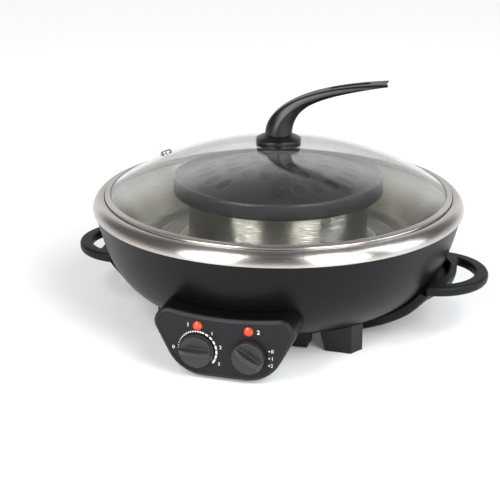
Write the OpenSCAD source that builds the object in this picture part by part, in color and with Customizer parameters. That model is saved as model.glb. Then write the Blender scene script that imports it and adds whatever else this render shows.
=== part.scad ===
// Electric hot pot: a ring-shaped steel pot with a grill plate on its central drum,
// under a loose glass lid. Millimetres, +Z up, the front panel faces -Y.
// The origin is on the pot's axis, at the height of the table.

/* [Bowl] */
// Radius of the painted bowl at its top edge
bowl_r = 192; // [184:1:200]
// Height of the bowl's top edge above the table
bowl_top_z = 117.5; // [112:0.5:124]
// Height of the bowl's flat underside above the table
bowl_base_z = 14; // [13:0.5:17]
// Radius of the bowl's flat underside
bowl_base_r = 101; // [99:0.5:103]
// How far the pull point of the lower wall lies inside the top edge
belly_in = 20.6; // [17:0.1:24]
// Height of that pull point above the underside
belly_rise = 19.4; // [17:0.1:22]
// How far the pull point of the upper wall lies inside the top edge
shoulder_in = 12.3; // [9:0.1:15]
// Drop of that pull point below the top edge
shoulder_drop = 52; // [46:0.5:58]
// Sheet thickness of the bowl
bowl_wall = 1.2; // [0.8:0.1:2]
// Width of the flange turned in under the bowl
bowl_flange_w = 13; // [11:0.5:15]

/* [Rim] */
// How far the polished rim stands out past the bowl
rim_out = 2; // [1.5:0.1:3]
// Width of the rim seen from above
rim_w = 11.8; // [10:0.1:14]
// Height of the rim above the bowl's edge
rim_h = 13.6; // [12:0.1:16]
// Height of the rim's straight outer lip
rim_lip = 2.5; // [2:0.1:3.5]
// Sheet thickness of the rim
rim_t = 1.2; // [0.8:0.1:1.6]
// Drop from the rim's top to the ledge that carries the lid
ledge_drop = 7; // [6:0.1:8.5]

/* [Pot] */
// Depth of the ring channel below the ledge
pot_depth = 48; // [42:0.5:54]
// How far the channel's flat floor ends inside the rim
pot_floor_in = 41.2; // [38:0.1:46]
// Inside radius of the corner between floor and wall
pot_corner_r = 9; // [6:0.5:12]
// Lean of the outer wall from upright, in degrees
pot_lean = 29; // [25:0.5:30]
// Sheet thickness of the pot
pot_t = 1; // [0.7:0.1:1.5]
// Radius of the central drum
drum_r = 94; // [90:0.5:97]
// Height of the drum above the channel's floor
drum_h = 61; // [57:0.5:64]
// Inside radius at the foot of the drum
drum_fillet = 5; // [3:0.5:8]
// Width of the flange turned in at the drum's top
drum_flange = 16; // [14.5:0.5:18]

/* [Grill plate] */
// Radius of the plate at the foot of its skirt
plate_r = 109.6; // [106:0.2:113]
// Height of the plate from the skirt's foot to its lip
plate_h = 15.7; // [14.5:0.1:17]
// How far the skirt hangs below the drum's top
plate_drop = 4; // [3:0.1:5]
// Lean of the skirt between foot and lip
plate_draft = 1.4; // [0.8:0.1:2]
// Thickness of the skirt
skirt_t = 4.6; // [3.5:0.1:5.5]
// Depth of the fat gutter inside the lip
gutter_d = 3.4; // [2:0.1:4]
// Width of the gutter and lip together
gutter_w = 14; // [12:0.5:17]
// Rise of the cooking dome above the gutter
plate_crown = 5; // [3:0.1:7]
// Thickness of the casting under the gutter
plate_t = 3.8; // [3:0.1:4.4]

/* [Lid] */
// Rise of the glass dome from its edge to its top
glass_rise = 51.2; // [46:0.1:56]
// Thickness of the glass
glass_t = 4; // [3:0.1:5]
// Thickness of the steel band round the glass
band_t = 1.6; // [1.2:0.1:2]
// Height of the band
band_h = 8.6; // [8.2:0.1:10]
// How far the band grips in over the glass
band_grip = 4.6; // [3:0.1:6]
// Radius of the vent eyelet's flange
vent_flange_r = 6.6; // [5.8:0.1:8]
// Radius of the vent's hole
vent_r = 2.4; // [1.5:0.1:3]
// How far the vent lies in from the glass's edge
vent_in = 40.6; // [32:0.2:60]
// Direction of the vent, in degrees from the right
vent_angle = 167; // [0:1:359]

/* [Lid handle] */
// Radius of the round foot under the handle
foot_disc_r = 23.5; // [21:0.5:27]
// Height of the foot's straight side
foot_disc_h = 6.5; // [5:0.1:8]
// Height of the foot's sloping shoulder
foot_slope_h = 4; // [3:0.1:5]
// Radius of the handle's stem
stem_r = 14; // [12:0.5:16]
// Rise of the handle's tip above its foot
handle_rise = 57.6; // [50:0.2:65]
// Reach of the handle's tip from the lid's axis
handle_reach = 112; // [100:1:125]
// Thickness of the tongue at the tip
tip_t = 3.4; // [2.5:0.1:6]
// Half width of the tongue at the tip
tip_hw = 13.5; // [12:0.5:16]
// Half width of the arm at its narrowest
neck_hw = 9.5; // [8:0.5:11]
// Depth of the notch in the tip
notch_d = 5; // [3:0.5:8]
// Half width of the hanging slot
slot_hw = 3.6; // [2.5:0.1:4.5]
// Length of the hanging slot
slot_len = 42; // [30:1:50]
// Distance from the tip to the near end of the slot
slot_from_tip = 18; // [14:1:24]
// Direction of the handle, in degrees from the right
handle_angle = 8; // [-20:1:20]

/* [Side handles] */
// Radius of the grip loop's outside
loop_r = 56; // [52:0.5:60]
// How far the loop's centre lies inside the bowl's edge
loop_in = 24.5; // [21:0.5:28]
// Width of the loop's bar at its outer end
loop_bar = 14; // [12:0.5:16]
// Thickness of the loop
loop_t = 10; // [8:0.5:13]
// Height of the loop's underside above the table
loop_z = 52; // [49:0.5:56]
// Thickness of the upright web beside the bowl
web_t = 14; // [11:0.5:16]
// Half width of the arm under the bowl
arm_hw = 52; // [48:0.5:54]
// Thickness of that arm
arm_t = 11; // [9:0.1:12]

/* [Base] */
// How far the bottom pan reaches past the bowl's underside
pan_out = 9; // [8:0.5:11]
// Thickness of the bottom pan
pan_t = 4; // [3:0.1:5]
// Width of the slope round the pan's underside
pan_slope = 8; // [6:0.5:9]
// Thickness of the lugs screwed under the pan
lug_t = 5; // [4:0.1:6]
// Length of the overlap of a handle's lug under the pan
lug_len = 18; // [16:0.5:22]
// Distance of a foot's front face from the middle
foot_front = 99; // [95:0.5:102]
// Length of a foot from front to back
foot_len = 37; // [33:0.5:40]
// Nearest edge of a foot's sole to the middle
foot_in = 76.6; // [74:0.2:79]
// Width of a foot's sole
foot_w = 34.7; // [30:0.1:38]
// How far a foot widens inwards towards its top
foot_flare = 8; // [5:0.5:10]
// Width of the bevels on a foot's outer corners
foot_bevel_w = 8.3; // [4:0.1:12]
// Length of the front bevel along the foot's side
foot_bevel_len = 14.2; // [8:0.1:18]
// Half width of the block round the cord inlet
inlet_hw = 13; // [12:0.5:16]
// Bore of the cord inlet's gland
cord_r = 3.6; // [3:0.1:4]
// Wall of the gland
gland_wall = 1.9; // [1.5:0.1:2.2]

/* [Control panel] */
// How far the panel's front edge stands out past the bowl
panel_out = 4; // [2:0.5:8]
// Half width of the flat at the panel's foot
panel_foot_hw = 21; // [17:0.5:24]
// Radius of the panel's lower corners
panel_low_r = 34.5; // [31:0.5:38]
// Lean of the panel's sides, in degrees
panel_lean = 26.6; // [23:0.2:29]
// Radius of the panel's upper corners
panel_top_r = 10.5; // [8:0.5:13]
// Height of the panel's foot above the table
panel_z = 7.6; // [6:0.1:9]
// Height of the panel at its upper corners
panel_h = 58.4; // [55:0.2:62]
// Size of the housing's rounded edge round the panel
panel_lip = 3.5; // [2.6:0.1:4.5]
// Dip of the panel's top edge in the middle
panel_dip = 4.8; // [2:0.1:6]
// Wall thickness of the housing
housing_wall = 2.4; // [1.8:0.1:3]
// Half width of the neck behind the panel
neck_w = 36; // [32:0.5:40]
// Distance of the neck's rear wall from the axis
neck_back = 96; // [94:0.5:98]
// Thickness of the fascia plate
fascia_t = 2.5; // [2:0.1:3]
// How far the fascia lies back in the housing's edge
fascia_set = 0.5; // [0.3:0.1:1]

/* [Knobs and lights] */
// Distance of each knob from the middle
knob_x = 25.6; // [24:0.2:28]
// Height of the knobs' axes above the table
knob_z = 30.2; // [27:0.2:33]
// Radius of a knob
knob_r = 16.8; // [15:0.1:18]
// Height of a knob's round body
knob_body_h = 7; // [6:0.1:9]
// Height of the grip on a knob's face
knob_grip_h = 6.2; // [4:0.1:8]
// Width of the grip
knob_grip_w = 9; // [7:0.1:12]
// Radius of a spindle
spindle_r = 3; // [2.5:0.1:3.5]
// Distance of each light from the middle
light_x = 25; // [22:0.2:28]
// Height of the lights above the table
light_z = 55; // [53:0.2:56]
// Radius of a light
light_r = 4.7; // [4:0.1:5.2]

/* [Heaters] */
// How far the pot's ring element lies outside the middle of its floor
coil_out = 4.5; // [2:0.1:6.5]
// Radius of that element's tube
pot_tube_r = 4; // [3:0.1:4.5]
// Radius of the ring element under the grill plate
grill_coil_r = 52; // [45:0.5:60]
// Radius of that element's tube
grill_tube_r = 3.3; // [2.5:0.1:4]
// Depth of the heat reflector below the drum's top
reflector_d = 22; // [20:0.5:26]
// Width of the terminal block
block_w = 44; // [36:1:50]
// Radius of a wire
wire_r = 1.2; // [0.8:0.1:1.6]

/* [Hidden] */
$fn = 96;

// Room between pieces: fixed seats, loose seats, running spindles and bowl seats
fixed_gap = 0.1;
loose_gap = 0.3;
running_gap = 0.05;
bowl_gap = 0.4;
curve_steps = 20;
far = 300;
full_turn = 360;

// Heights and radii of the bowl, the rim, the pot and the grill plate
rim_r = bowl_r + rim_out;
rim_in_r = rim_r - rim_w;
rim_top_z = bowl_top_z + rim_h;
rim_arc_z = bowl_top_z + rim_lip;
rim_turn = 1.4;
ledge_z = rim_top_z - ledge_drop;
ledge_w = rim_t + 2;
pot_floor_r = rim_in_r - pot_floor_in;
pot_floor_z = ledge_z - pot_depth;
pot_under_z = pot_floor_z - pot_t;
drum_top_z = pot_floor_z + drum_h;
drum_mouth_r = drum_r - drum_flange;
plate_z = drum_top_z - plate_drop;
plate_top_z = plate_z + plate_h;
plate_floor_z = plate_top_z - gutter_d - plate_t;
plate_seat_in = 7;
plate_seat_w = 5.5;
lip_w = 2;
gutter_side = 3;
dome_step = 1;

// Heights and radii of the lid
band_r = rim_in_r - 3 * loose_gap;
band_z = ledge_z + loose_gap;
glass_r = band_r - band_t - fixed_gap;
glass_ball = (pow(glass_r, 2) + pow(glass_rise, 2)) / (2 * glass_rise);
glass_edge_z = band_z + band_h - band_t;
dome_z = glass_edge_z + glass_rise;
vent_at = glass_r - vent_in;
ball_z = dome_z - glass_ball;
vent_tube_r = vent_r + 1.6;
vent_flange_t = 1.4;
vent_seat = 0.6;
foot_sink = 2;
foot_ledge = 1;
stem_z = dome_z + foot_disc_h + foot_slope_h;
tip_z = stem_z + handle_rise;
handle_screw_in = 16;
washer_t = 2;
washer_r = stem_r - 1;
washer_top = ball_z + sqrt(pow(glass_ball - glass_t, 2) - pow(washer_r, 2)) - fixed_gap;
washer_low = washer_top - washer_t;

// Pull points of the lid handle: its upper and lower side lines, and its edge seen from above
handle_upper = [[-stem_r, stem_z], [-stem_r, stem_z + 0.52 * handle_rise],
    [0.27 * handle_reach, stem_z + 0.92 * handle_rise], [handle_reach, tip_z]];
handle_lower = [[stem_r, stem_z], [1.1 * stem_r, stem_z + 0.54 * handle_rise],
    [0.36 * handle_reach, stem_z + 0.77 * handle_rise - tip_t], [0.99 * handle_reach, tip_z - tip_t]];
handle_edge = [[fixed_gap, stem_r], [0.3 * handle_reach, neck_hw],
    [0.62 * handle_reach, 0.85 * tip_hw], [handle_reach, tip_hw]];

// The base: the pan, the lugs under it, the panel and the cord's inlet
pan_r = bowl_base_r + pan_out;
pan_z = bowl_base_z - pan_t;
lug_z = pan_z - lug_t;
loop_at = bowl_r - loop_in;
hole_in = 2;
web_at = 0.62;
panel_y = bowl_r + panel_out;
slab_back = bowl_r - 2 * belly_in - 12;
lip_steps = 5;
neck_in = 30;
neck_front = panel_y - neck_in;
neck_z = panel_z - panel_lip;
fascia_y = panel_y - fascia_set;
fascia_back = fascia_y - fascia_t;
inlet_out = 16;
inlet_floor = 3;
inlet_hole_r = cord_r + gland_wall;
inlet_face = pan_r + inlet_out;
inlet_z = pan_z - 0.5;
lead_way = 12;
gland_len = 18;
gland_flange_t = 2.5;
gland_flange_w = 1.6;

// The controls, their knobs and the lights
bush_r = spindle_r + 1.5;
bush_len = 4;
switch_w = 28;
switch_d = 16;
switch_less = 4;
switch_wall = 4;
spindle_end = 0.5;
nut_w = 3;
nut_h = 2.4;
knob_gap = 0.8;
knob_draft = 1;
knob_room = 0.6;
grip_root = 1;
grip_draft = 1.5;
grill_turn = 32;
lens_out = 0.6;
lens_flange_w = 1.5;
lens_flange_t = 1.2;
lamp_r = 3;
lamp_len = 8.8;

// The heaters and what is wired to them
element_gap = 14;
pin_r = 2;
pot_coil_r = (drum_r + pot_floor_r) / 2 + coil_out;
pot_coil_z = pot_under_z - pot_tube_r - running_gap;
pot_pin_len = 22;
clip_w = 8;
clip_t = 1.2;
clip_leg = 2;
clip_reach = 5;
sensor_room = pot_coil_r - pot_tube_r - drum_r - drum_fillet;
sensor_r = drum_r + drum_fillet + sensor_room / 2;
probe_r = 0.37 * sensor_room;
probe_h = 8;
fuse_r = 0.2 * sensor_room;
fuse_len = 18;
tab_len = 26;
tab_w = 6;
tab_t = 2;
reflector_t = 0.8;
reflector_flange = 7;
reflector_z = drum_top_z - reflector_d;
grill_coil_drop = 5;
grill_coil_z = plate_floor_z - grill_tube_r - grill_coil_drop;
pin_past = 14;
grill_pin_len = grill_coil_z - reflector_z + pin_past;
saddle_w = 12;
saddle_t = 2;
block_y = 25;
block_d = 18;
block_h = 14;
block_ways = 4;
terminal_r = 3;
terminal_d = 5;
cable_way_y = 122;
cable_way_r = 9;
wire_side = 5;
wire_bend = 20;
wire_clear = 5;
wire_lift = 7;

// The screws: each place is the seat of its head
screw_r = 2.1;
screw_head_r = 4;
screw_head_h = 2.2;
wide_head_r = 5;
pan_skin = 0.5;
pan_hole_top = bowl_base_z - pan_skin;
pan_screw_past = 3;
pan_screw_top = bowl_base_z + bowl_wall + pan_screw_past;
pan_screw_r = bowl_base_r - bowl_flange_w / 2;
pan_screw_places = [for (a = [45:90:315]) [pan_screw_r * cos(a), pan_screw_r * sin(a), pan_z]];
foot_screw_in = 5;
foot_screw_back = 5;
foot_screw_z = lug_z - 1;
foot_turns = [0, 90, 180, 270];
foot_screw = [foot_in + foot_screw_in, foot_front - foot_len + foot_screw_back];
foot_screw_places = [for (a = foot_turns) [foot_screw.x * cos(a) + foot_screw.y * sin(a),
    foot_screw.x * sin(a) - foot_screw.y * cos(a), foot_screw_z]];
lug_screw_in = 22;
lug_screw_out = 3;
lug_screw_y = arm_hw - lug_screw_in;
lug_screw_x = pan_r - lug_len + lug_screw_out;
handle_screw_places = [for (sx = [-1, 1], sy = [-1, 1]) [sx * lug_screw_x, sy * lug_screw_y, lug_z]];
housing_lug_hw = 58.5;
housing_lug_front = 5;
housing_lug_len = 17;
housing_lug_z = 2;
housing_screw_x = 14;
housing_screw_y = -neck_back + housing_lug_len / 2;
housing_screw_places = [for (sx = [-1, 1]) [sx * housing_screw_x, housing_screw_y, housing_lug_z]];

// The four pull points of the bowl's wall, as radius and height
bowl_pull = [[bowl_base_r, bowl_base_z], [bowl_r - belly_in, bowl_base_z + belly_rise],
    [bowl_r - shoulder_in, bowl_top_z - shoulder_drop], [bowl_r, bowl_top_z]];

// A point on the cubic curve through four pull points, and the curve's direction there
function curve_at(p, t) = pow(1 - t, 3) * p[0] + 3 * pow(1 - t, 2) * t * p[1]
    + 3 * (1 - t) * t * t * p[2] + pow(t, 3) * p[3];
function curve_way(p, t) = pow(1 - t, 2) * (p[1] - p[0]) + 2 * (1 - t) * t * (p[2] - p[1])
    + t * t * (p[3] - p[2]);
function unit(v) = v / norm(v);
function turned(list) = [for (i = [len(list) - 1:-1:0]) list[i]];
function arc(c, rx, ry, from, to, n = 10) =
    [for (i = [0:n]) let (a = from + (to - from) * i / n) [c.x + rx * cos(a), c.y + ry * sin(a)]];

// The bowl's wall moved out along its normal, cut off level at the top edge
function bowl_curve(out) = [for (i = [0:curve_steps])
    let (t = i / curve_steps, d = unit(curve_way(bowl_pull, t)))
    let (p = curve_at(bowl_pull, t) + out * [d.y, -d.x])
    [p.x, min(p.y, bowl_top_z)]];

// The radius of the pot's leaning wall at a height, on its food side or moved out
function wall_r(z, out = 0) = pot_floor_r + (pot_corner_r + out) * cos(pot_lean)
    + (z - pot_floor_z - pot_corner_r + (pot_corner_r + out) * sin(pot_lean)) * tan(pot_lean);

// The food side of the pot, from the drum's flange to the lid ledge, moved out by the sheet
function pot_side(out) = concat(
    [[drum_mouth_r, drum_top_z - out], [drum_r - out, drum_top_z - out]],
    arc([drum_r + drum_fillet, pot_floor_z + drum_fillet], drum_fillet + out, drum_fillet + out, 180, 270),
    arc([pot_floor_r, pot_floor_z + pot_corner_r], pot_corner_r + out, pot_corner_r + out,
        270, full_turn - pot_lean),
    [[wall_r(ledge_z - out, out), ledge_z - out], [rim_in_r + ledge_w, ledge_z - out]]);

// The panel's outline seen from the front, as x and height, drawn in by an even margin
function panel_outline(in) = let (
    low = [panel_foot_hw, panel_z + panel_low_r],
    top_z = panel_z + panel_h - panel_top_r,
    side_x = low.x + panel_low_r / cos(panel_lean) + (top_z - low.y) * tan(panel_lean),
    top = [side_x - panel_top_r / cos(panel_lean), top_z],
    right = concat(arc(low, panel_low_r - in, panel_low_r - in, -90, -panel_lean, 12),
        arc(top, panel_top_r - in, panel_top_r - in, -panel_lean, 90, 12)),
    dip = [for (i = [1:11]) let (s = 1 - i / 6)
        [s * top.x, top.y + panel_top_r - in - panel_dip * (1 - s * s)]])
    concat(right, dip, [for (p = turned(right)) [-p.x, p.y]]);

module ring(points) { rotate_extrude() polygon(points); }
module bowl_solid(out) {
    curve = bowl_curve(out);
    ring(concat([[0, curve[0].y]], curve, [[curve[curve_steps].x, far], [0, far]]));
}
module box(low, high) { translate(low) cube(high - low); }
module front_slab(y_from, y_to) {
    translate([0, -y_to, 0]) rotate([90, 0, 0]) linear_extrude(y_from - y_to) children();
}
module front_rod(x, z, r, y_from, y_to) {
    translate([x, -y_to, z]) rotate([90, 0, 0]) cylinder(r = r, h = y_from - y_to);
}
module screw(place, top) {
    translate(place) {
        cylinder(r = screw_head_r, h = screw_head_h);
        cylinder(r = screw_r, h = top - place.z);
    }
}
module screw_hole(place, top) {
    translate([place.x, place.y, place.z - far])
        cylinder(r = screw_head_r + fixed_gap, h = far + screw_head_h);
    translate(place) cylinder(r = screw_r, h = top - place.z);
}
// A wire as one tube through its points: a ring of corners, square to the way, at each point
function way_at(p, i) = unit(unit(p[min(i + 1, len(p) - 1)] - p[min(i, len(p) - 2)])
    + unit(p[max(i, 1)] - p[max(i - 1, 0)]));
function across(v) = unit(cross(v, abs(v.x) < 0.9 ? [1, 0, 0] : [0, 0, 1]));
module wire(points, sides = 8) {
    n = len(points);
    corners = [for (i = [0:n - 1], j = [0:sides - 1])
        let (w = way_at(points, i), a = across(w), b = cross(w, a), t = full_turn * j / sides)
        points[i] + wire_r * (cos(t) * a + sin(t) * b)];
    walls = [for (i = [0:n - 2], j = [0:sides - 1], half = [0, 1])
        let (k = (j + 1) % sides, lo = i * sides, hi = lo + sides)
        half == 0 ? [lo + j, hi + j, lo + k] : [lo + k, hi + j, hi + k]];
    ends = [[for (j = [0:sides - 1]) j], [for (j = [sides - 1:-1:0]) (n - 1) * sides + j]];
    polyhedron(corners, concat(walls, ends));
}

module outer_shell() {
    color("#454447") difference() {
        ring(concat([[bowl_base_r - bowl_flange_w, bowl_base_z]],
            bowl_curve(0), turned(bowl_curve(-bowl_wall)),
            [[bowl_base_r - bowl_flange_w, bowl_base_z + bowl_wall]]));
        for (p = pan_screw_places) translate(p) cylinder(r = screw_r, h = far);
        translate([0, -cable_way_y, 0]) cylinder(r = cable_way_r, h = bowl_top_z / 2);
    }
}

module steel_rim() {
    seat_in = bowl_r - bowl_wall - rim_turn;
    inner_end = acos(rim_t / (rim_w - rim_t));
    color("#c9c5c0") ring(concat([[seat_in, bowl_top_z], [rim_r - rim_turn, bowl_top_z]],
        arc([rim_in_r, rim_arc_z], rim_w, rim_top_z - rim_arc_z, 0, 90, curve_steps),
        [[rim_in_r, ledge_z], [rim_in_r + rim_t, ledge_z]],
        turned(arc([rim_in_r, rim_arc_z], rim_w - rim_t, rim_top_z - rim_arc_z - rim_t,
            0, inner_end, curve_steps)),
        [[seat_in, bowl_top_z + rim_t]]));
}

module ring_pot() {
    color("#a8a497") ring(concat(pot_side(0), turned(pot_side(pot_t))));
}

// The pan's disc, whose underside slopes up to its edge, and the room it takes up under the bowl
module pan_disc(gap = 0) {
    translate([0, 0, pan_z]) cylinder(r1 = pan_r - pan_slope + gap, r2 = pan_r + gap, h = pan_t);
}
module pan_room() {
    pan_disc(fixed_gap);
    translate([0, 0, bowl_base_z]) cylinder(r = pan_r + fixed_gap, h = far);
}

module base_pan() {
    color("#1c1c1e") difference() {
        union() {
            pan_disc();
            difference() {
                box([-inlet_hw, pan_r - inlet_out, inlet_z - inlet_hole_r - inlet_floor],
                    [inlet_hw, inlet_face, bowl_top_z / 2]);
                bowl_solid(bowl_gap);
            }
        }
        box([-neck_w - fixed_gap, -far, 0], [neck_w + fixed_gap, -neck_back + fixed_gap, bowl_base_z]);
        for (p = pan_screw_places) screw_hole(p, far);
        for (p = concat(handle_screw_places, housing_screw_places, foot_screw_places))
            translate(p) cylinder(r = screw_r, h = pan_hole_top - p.z);
        translate([0, inlet_face + 1, inlet_z]) rotate([90, 0, 0])
            cylinder(r = inlet_hole_r, h = gland_len + 1);
        translate([0, inlet_face - gland_len + cord_r, inlet_z]) rotate([90, 0, 0])
            cylinder(r = cord_r, h = lead_way);
        translate([0, inlet_face - gland_len - cord_r, inlet_z]) cylinder(r = cord_r, h = far);
    }
}

module pan_screws() {
    color("silver") for (p = pan_screw_places) screw(p, pan_screw_top);
}

// One foot, front right; a bevelled block that widens upwards and fits under the bowl
module foot() {
    out = foot_in + foot_w;
    difference() {
        intersection() {
            linear_extrude(far) polygon([[foot_in - foot_flare, -foot_front],
                [out - foot_bevel_w, -foot_front], [out, -foot_front + foot_bevel_len],
                [out - foot_bevel_w, -foot_front + foot_len], [foot_in - foot_flare, -foot_front + foot_len]]);
            translate([0, far / 2, 0]) rotate([90, 0, 0]) linear_extrude(far) polygon([[foot_in, 0], [out, 0],
                [out, 2 * bowl_base_z + foot_w], [foot_in - foot_flare, 2 * bowl_base_z + foot_w],
                [foot_in - foot_flare, 2 * bowl_base_z]]);
        }
        bowl_solid(bowl_gap);
        pan_room();
        screw_hole([foot_screw.x, -foot_screw.y, foot_screw_z], far);
    }
}
module front_right_foot() { color("#161617") foot(); }
module front_left_foot() { color("#161617") rotate(foot_turns[3]) foot(); }
module rear_right_foot() { color("#161617") rotate(foot_turns[1]) foot(); }
module rear_left_foot() { color("#161617") rotate(foot_turns[2]) foot(); }
module foot_screws() {
    color("silver") for (p = foot_screw_places) screw(p, pan_hole_top);
}

// The right side handle: a round grip loop, an upright web and an arm under the bowl
module side_handle() {
    hole_at = loop_at - hole_in;
    hole_r = loop_at + loop_r - loop_bar - hole_at;
    web_r = curve_at(bowl_pull, web_at).x + web_t;
    difference() {
        union() {
            translate([0, 0, loop_z]) linear_extrude(loop_t) difference() {
                translate([loop_at, 0]) circle(loop_r);
                difference() {
                    translate([hole_at, 0]) circle(hole_r);
                    circle(web_r);
                }
            }
            intersection() {
                ring(concat(bowl_curve(bowl_gap), turned(bowl_curve(arm_t)), [[pan_r - lug_len, lug_z],
                    [pan_r - lug_len, pan_z], [bowl_base_r, pan_z]]));
                box([bowl_base_r / 2, -arm_hw, lug_z], [far, arm_hw, loop_z + loop_t]);
            }
        }
        bowl_solid(bowl_gap);
        pan_room();
        for (p = handle_screw_places) screw_hole(p, far);
    }
}
module right_handle() { color("#2c2b2d") side_handle(); }
module left_handle() { color("#2c2b2d") mirror([1, 0, 0]) side_handle(); }
module handle_screws() {
    color("silver") for (p = handle_screw_places) screw(p, pan_hole_top);
}

module cord_gland() {
    color("#111111") translate([0, inlet_face, inlet_z]) rotate([90, 0, 0]) difference() {
        union() {
            cylinder(r = inlet_hole_r - fixed_gap, h = gland_len - 2 * cord_r);
            translate([0, 0, -gland_flange_t])
                cylinder(r = inlet_hole_r + gland_flange_w, h = gland_flange_t);
        }
        translate([0, 0, -far / 2]) cylinder(r = cord_r, h = far);
    }
}

// The panel's housing: a wall round the panel with a rounded front edge, and a hollow neck under the bowl
module control_housing() {
    step = 90 / lip_steps;
    color("#1d1d1f") difference() {
        union() {
            for (a = [step:step:90])
                front_slab(panel_y - panel_lip * (1 - cos(a - step)), slab_back)
                    polygon(panel_outline(-panel_lip * sin(a)));
            box([-neck_w, -neck_front, neck_z], [neck_w, -neck_back, bowl_top_z / 2]);
            difference() {
                box([-housing_lug_hw, -neck_back - housing_lug_front, housing_lug_z],
                    [housing_lug_hw, -neck_back + housing_lug_len, 2 * bowl_base_z]);
                pan_room();
            }
        }
        front_slab(panel_y + 1, slab_back - 1) polygon(panel_outline(0));
        box([-neck_w + housing_wall, -neck_front + housing_wall, neck_z + housing_wall],
            [neck_w - housing_wall, -neck_back - housing_wall, bowl_top_z]);
        bowl_solid(bowl_gap);
        for (p = housing_screw_places) screw_hole(p, far);
    }
}
module housing_screws() {
    color("silver") for (p = housing_screw_places) screw(p, pan_hole_top);
}

module control_fascia() {
    color("#3d3b3d") difference() {
        front_slab(fascia_y, fascia_back) polygon(panel_outline(fixed_gap));
        for (s = [-1, 1]) {
            front_rod(s * knob_x, knob_z, bush_r + fixed_gap, far, 0);
            front_rod(s * light_x, light_z, light_r + fixed_gap, far, 0);
        }
    }
}

// A rotary control behind the fascia: its case and the bush that the spindle turns in
module rotary_control(side, case_w) {
    difference() {
        union() {
            box([side * knob_x - case_w / 2, -fascia_back, knob_z - switch_w / 2],
                [side * knob_x + case_w / 2, -fascia_back + switch_d, knob_z + switch_w / 2]);
            front_rod(side * knob_x, knob_z, bush_r, fascia_y + bush_len, fascia_back - 1);
        }
        front_rod(side * knob_x, knob_z, spindle_r + running_gap, far, fascia_back - switch_d + switch_wall);
    }
}
module hotpot_thermostat() { color("#d8d2c0") rotary_control(-1, switch_w); }
module grill_switch() { color("#3a3a3a") rotary_control(1, switch_w - switch_less); }
module spindle_nuts() {
    color("silver") for (s = [-1, 1]) difference() {
        translate([s * knob_x, -fascia_y, knob_z]) rotate([90, 0, 0])
            cylinder(r = bush_r + nut_w, h = nut_h, $fn = 6);
        front_rod(s * knob_x, knob_z, bush_r, far, 0);
    }
}

// A spindle ends just short of the bottom of its bush, and at its front inside the knob
module spindle(side) {
    front_rod(side * knob_x, knob_z, spindle_r, fascia_y + knob_gap + knob_body_h,
        fascia_back - switch_d + switch_wall + spindle_end);
}
module hotpot_spindle() { color("#b0b0b0") spindle(-1); }
module grill_spindle() { color("#b0b0b0") spindle(1); }

// A knob whose grip crosses its face; the turn is measured from a level grip
module knob(side, turn) {
    back = fascia_y + knob_gap;
    face = back + knob_body_h;
    root_r = knob_r - knob_draft;
    color("#2e2e30") translate([side * knob_x, 0, knob_z]) difference() {
        union() {
            translate([0, -back, 0]) rotate([90, 0, 0]) cylinder(r1 = knob_r, r2 = root_r, h = knob_body_h);
            intersection() {
                rotate([0, turn, 0]) box([-knob_r, -face - knob_grip_h, -knob_grip_w / 2],
                    [knob_r, -face + grip_root, knob_grip_w / 2]);
                translate([0, -face + grip_root, 0]) rotate([90, 0, 0])
                    cylinder(r1 = root_r, r2 = root_r - grip_draft, h = knob_grip_h + grip_root);
            }
        }
        front_rod(0, 0, bush_r + nut_w + knob_room, fascia_y + bush_len + knob_room, 0);
        front_rod(0, 0, spindle_r, face, 0);
    }
}
module hotpot_knob() { knob(-1, 0); }
module grill_knob() { knob(1, grill_turn); }

module light_lens(side) {
    color("#e0431c") translate([side * light_x, 0, light_z]) {
        front_rod(0, 0, light_r, fascia_y + lens_out, fascia_back);
        front_rod(0, 0, light_r + lens_flange_w, fascia_back, fascia_back - lens_flange_t);
        translate([0, -fascia_y - lens_out, 0]) rotate([90, 0, 0]) intersection() {
            translate([0, 0, -light_r]) sphere(light_r * sqrt(2));
            cylinder(r = light_r, h = light_r);
        }
    }
}
module hotpot_light_lens() { light_lens(-1); }
module grill_light_lens() { light_lens(1); }
module lamp(side) {
    back = fascia_back - lens_flange_t;
    color("#f2c9a0") front_rod(side * light_x, light_z, lamp_r, back, back - lamp_len);
}
module hotpot_lamp() { lamp(-1); }
module grill_lamp() { lamp(1); }

// A ring element with a gap at the front, and a terminal pin at each end
module ring_element(coil_r, tube_r, z, gap, pin_len) {
    translate([0, 0, z]) {
        rotate([0, 0, gap - 90]) rotate_extrude(angle = full_turn - 2 * gap)
            translate([coil_r, 0]) circle(tube_r);
        for (s = [-1, 1]) rotate([0, 0, s * gap - 90]) translate([coil_r, 0, 0]) {
            sphere(tube_r);
            translate([0, 0, -pin_len]) cylinder(r = pin_r, h = pin_len);
        }
    }
}
module pot_element() {
    color("#5b534b") ring_element(pot_coil_r, pot_tube_r, pot_coil_z, element_gap, pot_pin_len);
}
module element_clips() {
    half = pot_tube_r + clip_reach;
    low = pot_coil_z - pot_tube_r - fixed_gap;
    color("silver") for (a = [10, 90, 170]) rotate([0, 0, a]) {
        box([pot_coil_r - half, -clip_w / 2, low - clip_t], [pot_coil_r + half, clip_w / 2, low]);
        for (s = [-1, 1]) translate([pot_coil_r + s * (half - clip_leg / 2), 0, 0])
            box([-clip_leg / 2, -clip_w / 2, low - clip_t], [clip_leg / 2, clip_w / 2, pot_under_z]);
    }
}
module temperature_probe() {
    color("#c8b68a") rotate([0, 0, 225]) translate([sensor_r, 0, pot_under_z - probe_h])
        cylinder(r = probe_r, h = probe_h);
}
module thermal_fuse() {
    color("#cfcfcf") rotate([0, 0, 315]) translate([sensor_r, 0, pot_under_z - fuse_r]) {
        rotate([90, 0, 0]) cylinder(r = fuse_r, h = fuse_len, center = true);
        cube([tab_w, tab_len, tab_t], center = true);
    }
}

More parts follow.
